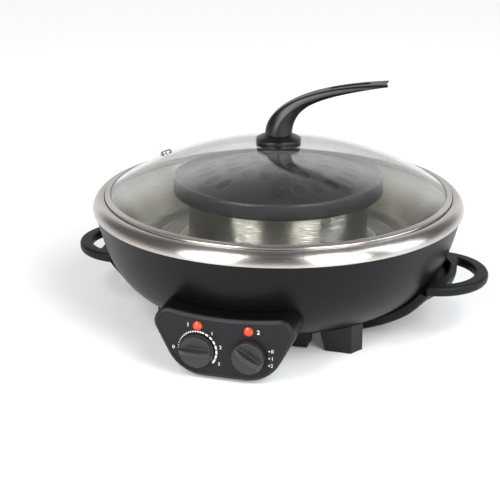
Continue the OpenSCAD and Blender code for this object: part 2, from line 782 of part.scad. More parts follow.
module grill_reflector() {
    wall = drum_mouth_r - 2 * loose_gap;
    flange = drum_mouth_r + reflector_flange;
    color("#b9b7b2") difference() {
        ring([[0, reflector_z], [wall, reflector_z], [wall, drum_top_z], [flange, drum_top_z],
            [flange, drum_top_z + reflector_t], [wall - reflector_t, drum_top_z + reflector_t],
            [wall - reflector_t, reflector_z + reflector_t], [0, reflector_z + reflector_t]]);
        for (s = [-1, 1]) rotate([0, 0, s * element_gap - 90]) translate([grill_coil_r, 0, 0])
            cylinder(r = pin_r + fixed_gap, h = far);
    }
}
module grill_element() {
    color("#5b534b") ring_element(grill_coil_r, grill_tube_r, grill_coil_z, element_gap, grill_pin_len);
}
module element_saddles() {
    color("silver") for (a = [-10, 90, 190]) rotate([0, 0, a]) difference() {
        box([grill_coil_r - saddle_w / 2, -saddle_t / 2, reflector_z + reflector_t],
            [grill_coil_r + saddle_w / 2, saddle_t / 2, grill_coil_z]);
        translate([grill_coil_r, 0, grill_coil_z]) rotate([90, 0, 0])
            cylinder(r = grill_tube_r + fixed_gap, h = far, center = true);
    }
}

module terminal_block() {
    pitch = block_w / block_ways;
    color("#e6e2d6") difference() {
        box([-block_w / 2, block_y, bowl_base_z], [block_w / 2, block_y + block_d, bowl_base_z + block_h]);
        for (i = [1:block_ways]) translate([(i - 0.5) * pitch - block_w / 2, block_y + block_d / 2,
            bowl_base_z + block_h - terminal_d]) cylinder(r = terminal_r, h = far);
    }
}

// Loose wires between the block, the controls and the elements' pins
module wires() {
    control_y = switch_d - fascia_back;
    control_z = knob_z - switch_w / 4;
    low = neck_z + housing_wall + wire_clear;
    pin_x = sin(element_gap);
    pin_y = -cos(element_gap);
    pot_pin = [pot_coil_r * pin_x, pot_coil_r * pin_y, pot_coil_z - pot_pin_len];
    grill_pin = [grill_coil_r * pin_x, grill_coil_r * pin_y, grill_coil_z - grill_pin_len];
    block = bowl_base_z + block_h / 2;
    way = -cable_way_y;
    inner_x = knob_x - switch_w / 4;
    color("#8a3b2e") {
        wire([[-knob_x, control_y, control_z], [-knob_x, way - wire_bend, low], [-wire_side, way, low],
            [-wire_side, way, pot_pin.z - wire_lift], [-pot_pin.x, pot_pin.y, pot_pin.z]]);
        wire([[knob_x, control_y, control_z], [knob_x, way - wire_bend, low], [wire_side, way, low],
            [wire_side, way, pot_pin.z - wire_lift],
            [grill_pin.x, grill_pin.y, pot_pin.z + wire_lift], grill_pin]);
        wire([[block_w / 4, block_y, block], [pot_pin.x, grill_pin.y, pot_pin.z - wire_lift], pot_pin]);
        wire([[-block_w / 4, block_y, block], [-grill_pin.x, grill_pin.y, pot_pin.z],
            [-grill_pin.x, grill_pin.y, grill_pin.z]]);
        wire([[0, block_y, block], [0, way - wire_side, block + wire_lift],
            [0, way - wire_side, low + wire_clear], [-inner_x, way - wire_bend, low + wire_clear],
            [-inner_x, control_y, control_z]]);
    }
}

module grill_plate() {
    lip_r = plate_r - plate_draft;
    dome_r = lip_r - gutter_w;
    gutter_z = plate_top_z - gutter_d;
    seat_r = drum_r - plate_seat_in;
    seat_z = drum_top_z + loose_gap;
    color("#4a4a4c") ring(concat(
        [[0, plate_floor_z], [seat_r, plate_floor_z], [seat_r, seat_z], [seat_r + plate_seat_w, seat_z],
            [seat_r + plate_seat_w, plate_floor_z], [plate_r - skirt_t - plate_draft, plate_floor_z],
            [plate_r - skirt_t, plate_z], [plate_r, plate_z],
            [lip_r, plate_top_z], [lip_r - lip_w, plate_top_z],
            [lip_r - lip_w - gutter_side, gutter_z], [dome_r + gutter_side, gutter_z]],
        [for (i = [0:curve_steps]) let (s = 1 - i / curve_steps)
            [s * dome_r, gutter_z + dome_step + (plate_crown - dome_step) * (1 - s * s)]]));
}

module glass_ball(out) { translate([0, 0, ball_z]) sphere(glass_ball + out, $fn = 180); }
module at_vent() {
    lean = asin(vent_at / glass_ball);
    rotate([0, 0, vent_angle]) translate([0, 0, ball_z]) rotate([0, lean, 0]) translate([0, 0, glass_ball])
        children();
}

module lid_glass() {
    color("#dfe6e6", 0.35) difference() {
        intersection() {
            glass_ball(0);
            translate([0, 0, band_z]) cylinder(r = glass_r, h = far);
        }
        glass_ball(-glass_t);
        translate([0, 0, dome_z - 3 * glass_t]) cylinder(r = screw_r + fixed_gap, h = far);
        at_vent() cylinder(r = vent_tube_r + fixed_gap, h = 6 * glass_t, center = true);
    }
}

module lid_band() {
    color("#c9c5c0") difference() {
        translate([0, 0, band_z]) cylinder(r = band_r, h = band_h);
        difference() {
            intersection() {
                glass_ball(fixed_gap);
                translate([0, 0, -far / 2]) cylinder(r = glass_r + fixed_gap, h = far);
            }
            glass_ball(-glass_t - fixed_gap);
        }
        translate([0, 0, -far / 2]) cylinder(r = band_r - band_t - band_grip, h = far);
    }
}

module vent_eyelet() {
    flange_h = vent_flange_t + vent_seat;
    color("#b8b4ae") difference() {
        union() {
            difference() {
                at_vent() translate([0, 0, -vent_seat]) cylinder(r = vent_flange_r, h = flange_h);
                glass_ball(fixed_gap / 2);
            }
            intersection() {
                at_vent() translate([0, 0, vent_seat - glass_t - flange_h])
                    cylinder(r = vent_flange_r, h = flange_h);
                glass_ball(-glass_t - fixed_gap / 2);
            }
            at_vent() translate([0, 0, -glass_t - vent_seat])
                cylinder(r = vent_tube_r, h = glass_t + 2 * vent_seat);
        }
        at_vent() cylinder(r = vent_r, h = 8 * glass_t, center = true);
    }
}

module handle_foot() {
    color("#1b1b1c") difference() {
        ring([[screw_r + fixed_gap, dome_z - foot_sink], [foot_disc_r, dome_z - foot_sink],
            [foot_disc_r, dome_z + foot_disc_h], [stem_r + foot_ledge, stem_z],
            [screw_r + fixed_gap, stem_z]]);
        glass_ball(fixed_gap / 2);
    }
}

// The lid's handle: its side view cut by its plan, a stem that bends over into a flat tongue
module lid_handle() {
    steps = [for (i = [0:curve_steps]) i / curve_steps];
    side = concat([for (t = steps) curve_at(handle_upper, t)],
        [for (t = turned(steps)) curve_at(handle_lower, t)]);
    edge = [for (t = steps) curve_at(handle_edge, t)];
    slot_out = handle_reach - slot_from_tip - slot_hw;
    slot_in = slot_out - slot_len + 2 * slot_hw;
    color("#1b1b1c") rotate([0, 0, handle_angle]) difference() {
        intersection() {
            translate([0, 2 * stem_r, 0]) rotate([90, 0, 0]) linear_extrude(4 * stem_r) polygon(side);
            translate([0, 0, stem_z]) linear_extrude(far) difference() {
                polygon(concat(edge, [[handle_reach - notch_d, 0]], [for (p = turned(edge)) [p.x, -p.y]],
                    arc([0, 0], stem_r, stem_r, 270, 90, curve_steps)));
                for (x = [slot_in, slot_out]) translate([x, 0]) circle(slot_hw);
                translate([slot_in, -slot_hw]) square([slot_out - slot_in, 2 * slot_hw]);
            }
        }
        translate([0, 0, stem_z - 1]) cylinder(r = screw_r, h = handle_screw_in + 1);
    }
}

module handle_washer() {
    color("#222222") ring([[screw_r + fixed_gap, washer_low], [washer_r, washer_low], [washer_r, washer_top],
        [screw_r + fixed_gap, washer_top]]);
}
module handle_screw() {
    color("silver") {
        translate([0, 0, washer_low - screw_head_h]) cylinder(r = wide_head_r, h = screw_head_h);
        translate([0, 0, washer_low]) cylinder(r = screw_r, h = stem_z + handle_screw_in - 1 - washer_low);
    }
}

outer_shell();
steel_rim();
ring_pot();
base_pan();
pan_screws();
front_right_foot();
front_left_foot();
rear_right_foot();
rear_left_foot();
foot_screws();
right_handle();
left_handle();
handle_screws();
cord_gland();
control_housing();
housing_screws();
control_fascia();
hotpot_thermostat();
grill_switch();
spindle_nuts();
hotpot_spindle();
grill_spindle();
hotpot_knob();
grill_knob();
hotpot_light_lens();
grill_light_lens();
hotpot_lamp();
grill_lamp();
pot_element();
element_clips();
temperature_probe();
thermal_fuse();
grill_reflector();
grill_element();
element_saddles();
terminal_block();
wires();
grill_plate();
lid_glass();
lid_band();
vent_eyelet();
handle_foot();
lid_handle();
handle_washer();
handle_screw();
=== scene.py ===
import math

import bmesh
import bpy
import numpy as np
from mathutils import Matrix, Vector


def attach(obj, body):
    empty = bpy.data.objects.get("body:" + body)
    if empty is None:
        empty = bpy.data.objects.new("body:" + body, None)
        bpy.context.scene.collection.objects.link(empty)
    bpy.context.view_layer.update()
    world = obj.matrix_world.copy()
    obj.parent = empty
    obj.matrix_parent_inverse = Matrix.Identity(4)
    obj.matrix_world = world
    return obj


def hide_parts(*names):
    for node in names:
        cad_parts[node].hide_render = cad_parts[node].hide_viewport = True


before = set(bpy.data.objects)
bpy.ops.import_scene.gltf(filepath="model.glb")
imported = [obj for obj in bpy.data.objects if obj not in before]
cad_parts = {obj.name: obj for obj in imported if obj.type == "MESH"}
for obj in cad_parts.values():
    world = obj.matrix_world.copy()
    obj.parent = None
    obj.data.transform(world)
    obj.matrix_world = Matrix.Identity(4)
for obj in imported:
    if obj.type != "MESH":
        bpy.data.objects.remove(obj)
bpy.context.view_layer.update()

# The outer bowl is one drawn steel sheet, painted matt charcoal inside and out. Its edge is
# hidden under the steel rim, and a flange turned in at its foot is screwed to the bottom pan.
BOWL_PULL = [[101, 14], [171.4, 33.4], [179.7, 65.5], [192, 117.5]]
BOWL_SHEET, FLANGE_R = 1.2, 88


def pulled_curve(pull, t):
    """Cubic curve: four pull points weighted by (1-t)^3, 3(1-t)^2 t, 3(1-t) t^2 and t^3."""
    t = np.asarray(t, float)[:, None]
    a, b, c, d = np.asarray(pull, float)
    return (1 - t) ** 3 * a + 3 * (1 - t) ** 2 * t * b + 3 * (1 - t) * t ** 2 * c + t ** 3 * d


def moved_out(line, out):
    """A line in the plane moved by 'out' along its normal, the direction turned to the right."""
    way = np.gradient(line, axis=0)
    way /= np.linalg.norm(way, axis=1)[:, None]
    return line + np.reshape(out, (-1, 1)) * np.stack([way[:, 1], -way[:, 0]], 1)


def spun(profile, steps=192):
    """Grid of a profile of radius and height carried round the axis: r cos a, r sin a, z."""
    a = np.linspace(0, 2 * np.pi, steps, endpoint=False)
    r, z = np.asarray(profile, float).T[:, :, None]
    return np.stack(np.broadcast_arrays(r * np.cos(a), r * np.sin(a), z), -1)


def skin(name, grid, rows_close=False, columns_close=True, sharp=None):
    """Mesh over a grid of points in millimetres: each face joins four neighbours, the last row or
    column joins the first where that direction closes, and points that coincide become one."""
    n, m = grid.shape[:2]
    i = np.arange(n if rows_close else n - 1)[:, None]
    j = np.arange(m if columns_close else m - 1)[None, :]
    k, l = (i + 1) % n, (j + 1) % m
    quads = np.stack(np.broadcast_arrays(i * m + j, i * m + l, k * m + l, k * m + j), -1).reshape(-1, 4)
    mesh = bpy.data.meshes.new(name)
    mesh.from_pydata((grid.reshape(-1, 3) / 1000).tolist(), [], quads.tolist())
    work = bmesh.new()
    work.from_mesh(mesh)
    bmesh.ops.remove_doubles(work, verts=work.verts, dist=2e-6)
    bmesh.ops.dissolve_degenerate(work, edges=work.edges, dist=1e-7)
    bmesh.ops.recalc_face_normals(work, faces=work.faces)
    work.to_mesh(mesh)
    work.free()
    mesh.shade_smooth()
    if sharp:
        mesh.set_sharp_from_angle(angle=math.radians(sharp))
    piece = bpy.data.objects.new(name, mesh)
    bpy.context.scene.collection.objects.link(piece)
    return piece


def fitted(piece, body, slot, material, *nodes):
    """Gives a piece its material, sets it on a body and in place of CAD nodes. The slot is not used."""
    piece.data.materials.clear()
    piece.data.materials.append(material)
    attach(piece, body)
    if nodes:
        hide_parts(*nodes)
    return piece


def finish(name, colour, rough, mottle=0.08, patch=40, grain=0.6, relief=0.03, swing=0.06, edge=0, **sockets):
    """Material on Object coordinates: a slow noise, 'patch' mm across, lightens and darkens the colour
    by 'mottle', a fine one, 'grain' mm across, swings the roughness and lifts the surface by 'relief'
    mm, and 'edge' mm of rounding softens the corners of a solid. Other words are shader sockets."""
    material = bpy.data.materials.new(name)
    material.use_nodes = True
    tree = material.node_tree
    add, link = tree.nodes.new, tree.links.new
    shader = tree.nodes["Principled BSDF"]
    place = add("ShaderNodeTexCoord").outputs["Object"]
    slow, fine = add("ShaderNodeTexNoise"), add("ShaderNodeTexNoise")
    for noise, size, detail in ((slow, patch, 3), (fine, grain, 2)):
        noise.inputs["Scale"].default_value = 1000 / size
        noise.inputs["Detail"].default_value = detail
        link(place, noise.inputs["Vector"])
    tint = add("ShaderNodeMix")
    tint.data_type = "RGBA"
    tint.inputs["A"].default_value = (*[c * (1 - mottle) for c in colour], 1)
    tint.inputs["B"].default_value = (*[c * (1 + mottle) for c in colour], 1)
    link(slow.outputs["Fac"], tint.inputs["Factor"])
    link(tint.outputs["Result"], shader.inputs["Base Color"])
    spread = add("ShaderNodeMapRange")
    spread.inputs["To Min"].default_value = max(rough - swing, 0.02)
    spread.inputs["To Max"].default_value = rough + swing
    link(fine.outputs["Fac"], spread.inputs["Value"])
    link(spread.outputs["Result"], shader.inputs["Roughness"])
    bump = add("ShaderNodeBump")
    bump.inputs["Distance"].default_value = relief / 1000
    bump.inputs["Strength"].default_value = 0.5
    link(fine.outputs["Fac"], bump.inputs["Height"])
    if edge:
        soft = add("ShaderNodeBevel")
        soft.inputs["Radius"].default_value = edge / 1000
        link(soft.outputs["Normal"], bump.inputs["Normal"])
    link(bump.outputs["Normal"], shader.inputs["Normal"])
    for socket, value in sockets.items():
        shader.inputs[socket.replace("_", " ")].default_value = value
    return material


bowl_line = pulled_curve(BOWL_PULL, np.linspace(0, 1, 72))
flange_z = BOWL_PULL[0][1]
bowl_sheet = np.concatenate([[[FLANGE_R, flange_z]], bowl_line, moved_out(bowl_line, -BOWL_SHEET)[::-1],
                             [[FLANGE_R, flange_z + BOWL_SHEET]]])
bowl_sheet[:, 1] = np.minimum(bowl_sheet[:, 1], BOWL_PULL[3][1])
shell_paint = finish("charcoal_paint", (0.0034, 0.0032, 0.0038), 0.36, mottle=0.05, patch=60, grain=0.9,
                     relief=0.012, Specular_IOR_Level=0.17)
fitted(skin("painted_bowl", spun(bowl_sheet, 256), rows_close=True, sharp=50),
       "base", "shell_paint", shell_paint, "outer_shell")

# The bottom pan is a black plastic disc that carries everything under the bowl: the four bevelled
# feet, the cord gland and the screws. All of them are moulded or turned parts, kept as they are.
pan_plastic = finish("grained_black_plastic", (0.0022, 0.0022, 0.0025), 0.46, grain=0.7, relief=0.09,
                     edge=1.2, Specular_IOR_Level=0.4)
gland_rubber = finish("gland_rubber", (0.009, 0.009, 0.009), 0.7, grain=1.5, relief=0.05, edge=0.4)
zinc = finish("zinc_plate", (0.55, 0.55, 0.53), 0.32, mottle=0.2, patch=4, grain=0.5, edge=0.25, Metallic=1.0)


def repaint(material, *nodes):
    """Puts a material on CAD nodes that stay as they are."""
    for node in nodes:
        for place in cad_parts[node].material_slots:
            place.material = material


repaint(pan_plastic, "base_pan", "front_right_foot", "front_left_foot", "rear_right_foot", "rear_left_foot")
repaint(gland_rubber, "cord_gland", "handle_washer")
repaint(zinc, "pan_screws", "foot_screws", "handle_screws", "housing_screws", "spindle_nuts",
        "element_clips", "element_saddles", "handle_screw", "hotpot_spindle", "grill_spindle",
        "grill_reflector", "thermal_fuse")

# Two side handles of satin dark grey plastic. Each is one moulding: a flat grip loop, an upright
# web beside the bowl, and a broad arm that runs down under the bowl to a lug screwed to the pan.
LOOP_AT, LOOP_R, LOOP_LOW, LOOP_HIGH = 167.5, 56, 52, 62
HOLE_AT, HOLE_R, WEB_R, WEB_IN_R = 165.5, 44, 190.1, 182.6
HOLE_MIDDLE, LOOP_EDGE, HANDLE_GAP = 198.5, 3.6, 0.5
ARM_IN, ARM_LOW, ARM_HIGH, ARM_THICK, ARM_HALF = 92, 5.15, 9.8, 11.4, 52.2
ARM_EDGE, ARM_SWELL, ARM_ROWS = 3.4, 7, 70


def ease(x, low, high):
    """Smooth step from 0 at low to 1 at high: s s (3 - 2 s)."""
    s = np.clip((np.asarray(x, float) - low) / (high - low), 0, 1)
    return s * s * (3 - 2 * s)


def box_loop(corner=6, long=2, short=2):
    """Loop round a box with round corners, as shares: a point lies at su(a-r) + cu r across and
    sv(b-r) + cv r up, where a and b are half the box's sides and r is the corners' radius."""
    turn = np.linspace(0, np.pi / 2, corner)
    parts = []
    for k, (s, t) in enumerate([(1, 1), (-1, 1), (-1, -1), (1, -1)]):
        a = turn + k * np.pi / 2
        parts.append(np.stack([np.full(corner, s), np.cos(a), np.full(corner, t), np.sin(a)], 1))
        f = np.linspace(1, -1, (long if k % 2 == 0 else short) + 2)[1:-1, None]
        ends = {0: [0, 0, 1, 1], 1: [-1, -1, 0, 0], 2: [0, 0, -1, -1], 3: [1, 1, 0, 0]}[k]
        runs = {0: [1, 0, 0, 0], 1: [0, 0, 1, 0], 2: [-1, 0, 0, 0], 3: [0, 0, -1, 0]}[k]
        parts.append(np.array(ends, float) + f * np.array(runs, float))
    return np.concatenate(parts).T


def reach(direction, start, centre, radius, outside=False):
    """Distance from a start point to a circle along each direction; a miss counts as very far."""
    gap = np.array(start, float) - centre
    b = direction @ gap
    root = b * b - gap @ gap + radius ** 2
    d = -b + np.sqrt(np.maximum(root, 0)) * (-1 if outside else 1)
    return np.where((root > 0) & (d > 0), d, 1e6)


def least(a, b, power=9):
    """The smaller of two distances with the corner between them eased: (a^-p + b^-p)^(-1/p)."""
    return (a ** -float(power) + b ** -float(power)) ** (-1 / power)


def grip_loop(side):
    """Closed ring round the finger hole: at each angle the box section reaches from the hole's edge to
    the nearer of the loop's outer circle and the bowl, or the web's inner circle along the web."""
    a = np.linspace(0, 2 * np.pi, 160, endpoint=False)
    way = np.stack([np.cos(a), np.sin(a)], 1)
    start = [HOLE_MIDDLE, 0]
    bowl_r = np.interp(LOOP_HIGH, bowl_line[:, 1], bowl_line[:, 0]) + HANDLE_GAP
    free = 1 - ease(np.abs(a - np.pi), 0.85, 1.15)
    hole = least(reach(way, start, [HOLE_AT, 0], HOLE_R), reach(way, start, [0, 0], WEB_R, True))
    inner_side = (reach(way, start, [0, 0], bowl_r, True) * (1 - free)
                  + reach(way, start, [0, 0], WEB_IN_R, True) * free)
    outer = least(reach(way, start, [LOOP_AT, 0], LOOP_R), inner_side, 14)
    su, cu, sv, cv = box_loop(corner=7, long=4, short=1)
    half, tall, r = ((outer - hole) / 2)[:, None], (LOOP_HIGH - LOOP_LOW) / 2, LOOP_EDGE
    d = (outer + hole)[:, None] / 2 + su * (half - r) + cu * r
    z = (LOOP_LOW + LOOP_HIGH) / 2 + sv * (tall - r) + cv * r
    x, y = start[0] + d * way[:, :1], d * way[:, 1:]
    return np.stack(np.broadcast_arrays(side * x, side * y, z), -1)


def even(line, steps):
    """A line resampled at equal distances along itself."""
    run = np.concatenate([[0], np.cumsum(np.linalg.norm(np.diff(line, axis=0), axis=1))])
    at = np.linspace(0, run[-1], steps)
    return np.stack([np.interp(at, run, c) for c in line.T], 1)


def handle_arm(side):
    """Broad band under the bowl: at each step along its length a box section lies between a line close
    under the bowl and a line further out, swells out under the web, and bends round the pot's axis
    because x is the root of r squared less y squared."""
    upper = moved_out(bowl_line, HANDLE_GAP)
    upper = upper[(upper[:, 0] > 113) & (upper[:, 1] < 55)]
    upper = np.concatenate([[[ARM_IN, ARM_HIGH], [102.4, ARM_HIGH], [111, 14.3]], upper])
    upper = even(upper, ARM_ROWS)
    drop = ARM_THICK - 1.5 * ease(bowl_line[:, 1], 34, 50)
    lower = moved_out(bowl_line, drop)
    lower = lower[(lower[:, 1] > 5.2) & (bowl_line[:, 1] < 58)]
    lower = np.concatenate([[[ARM_IN, ARM_LOW], [lower[0, 0] - 4, ARM_LOW]], lower])
    lower = even(lower, ARM_ROWS)
    lower[:, 1] = np.minimum(lower[:, 1], LOOP_LOW + 4)
    su, cu, sv, cv = box_loop(corner=6, long=14, short=2)
    thick = np.linalg.norm(lower - upper, axis=1)[:, None]
    r = np.minimum(ARM_EDGE, 0.42 * thick)
    half = (ARM_HALF + 3.2 * ease(upper[:, 1], 38, 54))[:, None]
    y = su * (half - r) + cu * r
    share = 0.5 + (sv * (thick / 2 - r) + cv * r) / thick
    line = upper[:, None] + share[:, :, None] * (lower - upper)[:, None]
    line[:, :, 0] += ARM_SWELL * share * ease(upper[:, 1:], 42, 53) * (1 - ease(np.abs(y), 32, 47))
    x = np.sqrt(np.maximum(line[:, :, 0] ** 2 - y ** 2, 0))
    grid = np.stack([side * x, y * side, line[:, :, 1]], -1)
    ends = [np.broadcast_to(grid[i].mean(0), grid[i].shape) for i in (0, -1)]
    return np.concatenate([ends[:1], grid, ends[1:]])


handle_plastic = finish("satin_handle_plastic", (0.007, 0.007, 0.0078), 0.46, mottle=0.05, grain=0.8,
                        relief=0.012, Specular_IOR_Level=0.16)
for side, word in ((1, "right"), (-1, "left")):
    fitted(skin(word + "_grip_loop", grip_loop(side), rows_close=True),
           "base", "handle_plastic", handle_plastic, word + "_handle")
    fitted(skin(word + "_handle_arm", handle_arm(side), sharp=60), "base", "handle_plastic", handle_plastic)

# The control housing is a semi-gloss black moulding round the panel, with a rounded front edge; its
# neck runs back under the bowl to two screws. The skin here is its outer wall, over the plain neck.
PANEL_Y, PANEL_LIP, WALL, NECK_FRONT = 196, 3.5, 2.4, 139
FASCIA_GREY = (0.0078, 0.0066, 0.0078)


def panel_outline(inset, corner=28, top=36):
    """The panel's outline as x and z: two round lower corners, two smaller upper ones, leaning sides
    and a top edge that dips in the middle by a parabola, all drawn in by an even inset."""
    foot, low_r, lean, top_r, z0, tall, dip = 21, 34.5, math.radians(26.6), 10.5, 7.6, 58.4, 4.8
    low = np.array([foot, z0 + low_r])
    high_z = z0 + tall - top_r
    high = np.array([foot + (low_r - top_r) / math.cos(lean) + (high_z - low[1]) * math.tan(lean), high_z])

    def corner_of(centre, r, a, b):
        t = np.linspace(a, b, corner)
        return centre + (r - inset) * np.stack([np.cos(t), np.sin(t)], 1)

    right = np.concatenate([corner_of(low, low_r, -np.pi / 2, -lean),
                            corner_of(high, top_r, -lean, np.pi / 2)])
    s = np.linspace(1, -1, top + 2)[1:-1]
    edge = np.stack([s * high[0], high[1] + top_r - inset - dip * (1 - s * s)], 1)
    base = np.stack([np.linspace(-1, 1, 12)[1:-1] * foot, np.full(10, z0 + inset)], 1)
    return np.concatenate([right, edge, (right * [-1, 1])[::-1], base])


def housing_wall():
    """Rows of the outline from the fascia's seat, over the quarter-round edge, back along the outer wall
    to where the bowl is, and forward again inside it; the bowl's distance at x and z is the root of
    its radius squared less x squared."""
    a = np.linspace(0, np.pi / 2, 9)
    rows = [(0.06, PANEL_Y - 2.2), (0.06, PANEL_Y - 0.25)]
    rows += [(-PANEL_LIP * math.sin(t), PANEL_Y + 0.1 - PANEL_LIP * (1 - math.cos(t))) for t in a]
    grid = []
    for inset, y in rows:
        line = panel_outline(inset)
        grid.append(np.stack([line[:, 0], np.full(len(line), -y), line[:, 1]], 1))
    outer, inner = panel_outline(-PANEL_LIP - 0.1), panel_outline(-PANEL_LIP + WALL)
    radius = np.interp(outer[:, 1], bowl_line[:, 1], bowl_line[:, 0], left=0)
    back = np.maximum(np.sqrt(np.maximum(radius ** 2 - outer[:, 0] ** 2, 0)) + HANDLE_GAP, NECK_FRONT)
    for share in (0.06, 0.3, 0.6, 0.9, 1):
        y = (PANEL_Y - PANEL_LIP) * (1 - share) + back * share
        grid.append(np.stack([outer[:, 0], -y, outer[:, 1]], 1))
    for y in (-back, 0 * back - PANEL_Y + 5):
        grid.append(np.stack([inner[:, 0], y, inner[:, 1]], 1))
    return np.array(grid)


housing_plastic = finish("semi_gloss_black_plastic", (0.002, 0.002, 0.0022), 0.34, mottle=0.05, grain=0.9,
                         relief=0.012, edge=0.8, Specular_IOR_Level=0.35)
fascia_plastic = finish("matt_fascia_plastic", FASCIA_GREY, 0.5, mottle=0.04, patch=25, grain=0.5,
                        relief=0.03, Specular_IOR_Level=0.25)
tree = housing_plastic.node_tree
front, lip = tree.nodes.new("ShaderNodeMapRange"), tree.nodes.new("ShaderNodeMix")
split = tree.nodes.new("ShaderNodeSeparateXYZ")
lip.data_type = "RGBA"
lip.inputs["B"].default_value = (*FASCIA_GREY, 1)
for socket, value in zip(("From Min", "From Max"), (-0.1905, -0.193)):
    front.inputs[socket].default_value = value
tree.links.new(tree.nodes["Texture Coordinate"].outputs["Object"], split.inputs["Vector"])
tree.links.new(split.outputs["Y"], front.inputs["Value"])
tree.links.new(front.outputs["Result"], lip.inputs["Factor"])
tree.links.new(tree.nodes["Mix"].outputs["Result"], lip.inputs["A"])
tree.links.new(lip.outputs["Result"], tree.nodes["Principled BSDF"].inputs["Base Color"])
fitted(skin("housing_wall", housing_wall(), rows_close=True, sharp=50),
       "base", "housing_plastic", housing_plastic)
repaint(housing_plastic, "control_housing")
repaint(fascia_plastic, "control_fascia")

# White marks printed on the fascia: a ring of strokes that grow towards full heat round the left
# knob, three pointers beside the right one, and plain numerals. They are ink, a tenth of a mm thick.
FASCIA_Y, KNOB_X, KNOB_Z = 195.5, 25.6, 30.2
INK, STROKE_R, SMALL, LARGE = 0.12, 19, 3.4, 4.2
POINT_IN, POINT_OUT, POINT_HALF, POINT_STEP = 18.3, 20, 0.9, 7.3


def plate_of(outlines):
    """Flat prints on the fascia: each outline of x and z becomes a thin slab standing on the plate."""
    grids = []
    for line in outlines:
        rings = [np.stack([line[:, 0], np.full(len(line), -y), line[:, 1]], 1)
                 for y in (FASCIA_Y - 0.05, FASCIA_Y + INK)]
        middle = np.broadcast_to(rings[1].mean(0), rings[1].shape)
        grids.append(np.array(rings + [middle]))
    return grids


def stroke(angle, length, width, radius, middle):
    """A stroke bent round a knob: the box between two radii and two angles, with 'length' as its arc."""
    a = np.linspace(-0.5, 0.5, 7) * length / radius + angle
    sides = ((width / 2, a), (-width / 2, a[::-1]))
    return np.concatenate([middle + (radius + w) * np.stack([np.cos(b), np.sin(b)], 1) for w, b in sides])


left_knob = np.array([-KNOB_X, KNOB_Z])
stroke_at = np.radians(np.concatenate([np.linspace(178, 72, 15), np.linspace(60, -31, 7)]))
stroke_long = np.concatenate([np.linspace(0.8, 1.9, 15), np.linspace(3, 4.4, 7)])
stroke_size = zip(stroke_long, np.linspace(0.8, 1.9, 22))
marks = [stroke(a, length, width, STROKE_R, left_knob) for a, (length, width) in zip(stroke_at, stroke_size)]
marks += [np.array([KNOB_X, KNOB_Z]) + np.array([[POINT_IN, z], [POINT_OUT, z - POINT_HALF],
                                                 [POINT_OUT, z + POINT_HALF]])
          for z in (POINT_STEP, 0, -POINT_STEP)]
ink = finish("white_ink", (0.78, 0.78, 0.77), 0.5, mottle=0.04, grain=0.4, relief=0.01)
for k, grid in enumerate(plate_of(marks)):
    fitted(skin(f"printed_mark_{k:02d}", grid, sharp=40), "base", "fascia_plastic", ink)


def numeral(name, sign, x, z, tall):
    """A plain numeral made flat as text, turned to face the front, and moved to x and z on the plate."""
    text = bpy.data.curves.new(name, "FONT")
    text.body, text.size, text.extrude = sign, tall / 700, INK / 2000
    text.align_x, text.align_y = "CENTER", "CENTER"
    made = bpy.data.objects.new(name, text)
    bpy.context.scene.collection.objects.link(made)
    mesh = bpy.data.meshes.new_from_object(made.evaluated_get(bpy.context.evaluated_depsgraph_get()))
    bpy.data.objects.remove(made)
    flat = np.empty(len(mesh.vertices) * 3)
    mesh.vertices.foreach_get("co", flat)
    flat = flat.reshape(-1, 3)
    placed = np.stack([flat[:, 0] + x / 1000, -flat[:, 2] - (FASCIA_Y + INK / 2) / 1000,
                       flat[:, 1] + z / 1000], 1)
    mesh.vertices.foreach_set("co", placed.ravel())
    mesh.update()
    piece = bpy.data.objects.new(name, mesh)
    bpy.context.scene.collection.objects.link(piece)
    return fitted(piece, "base", "fascia_plastic", ink)


for name, sign, x, z, tall in (
        ("numeral_off", "0", -49.5, 30.5, SMALL), ("numeral_low", "1", -10.8, 48.6, SMALL),
        ("numeral_mid", "2", -2.6, 35.4, SMALL), ("numeral_high", "3", -4.2, 18.2, SMALL),
        ("grill_off", "0", 48.1, 37.5, SMALL), ("grill_low", "1", 48.1, 30.2, SMALL),
        ("grill_high", "2", 47.6, 22.9, SMALL), ("left_side", "1", -34.5, 55.2, LARGE),
        ("right_side", "2", 34.5, 55.2, LARGE)):
    numeral(name, sign, x, z, tall)

# Two knobs of satin dark grey plastic pressed on their spindles. A finger grip crosses each face,
# highest in the middle, with a scooped hollow on either side.
KNOB_R, KNOB_BACK, FACE_R, GRIP_TOP, GRIP_FALL = 16.8, 196.3, 15.8, 13.1, 5


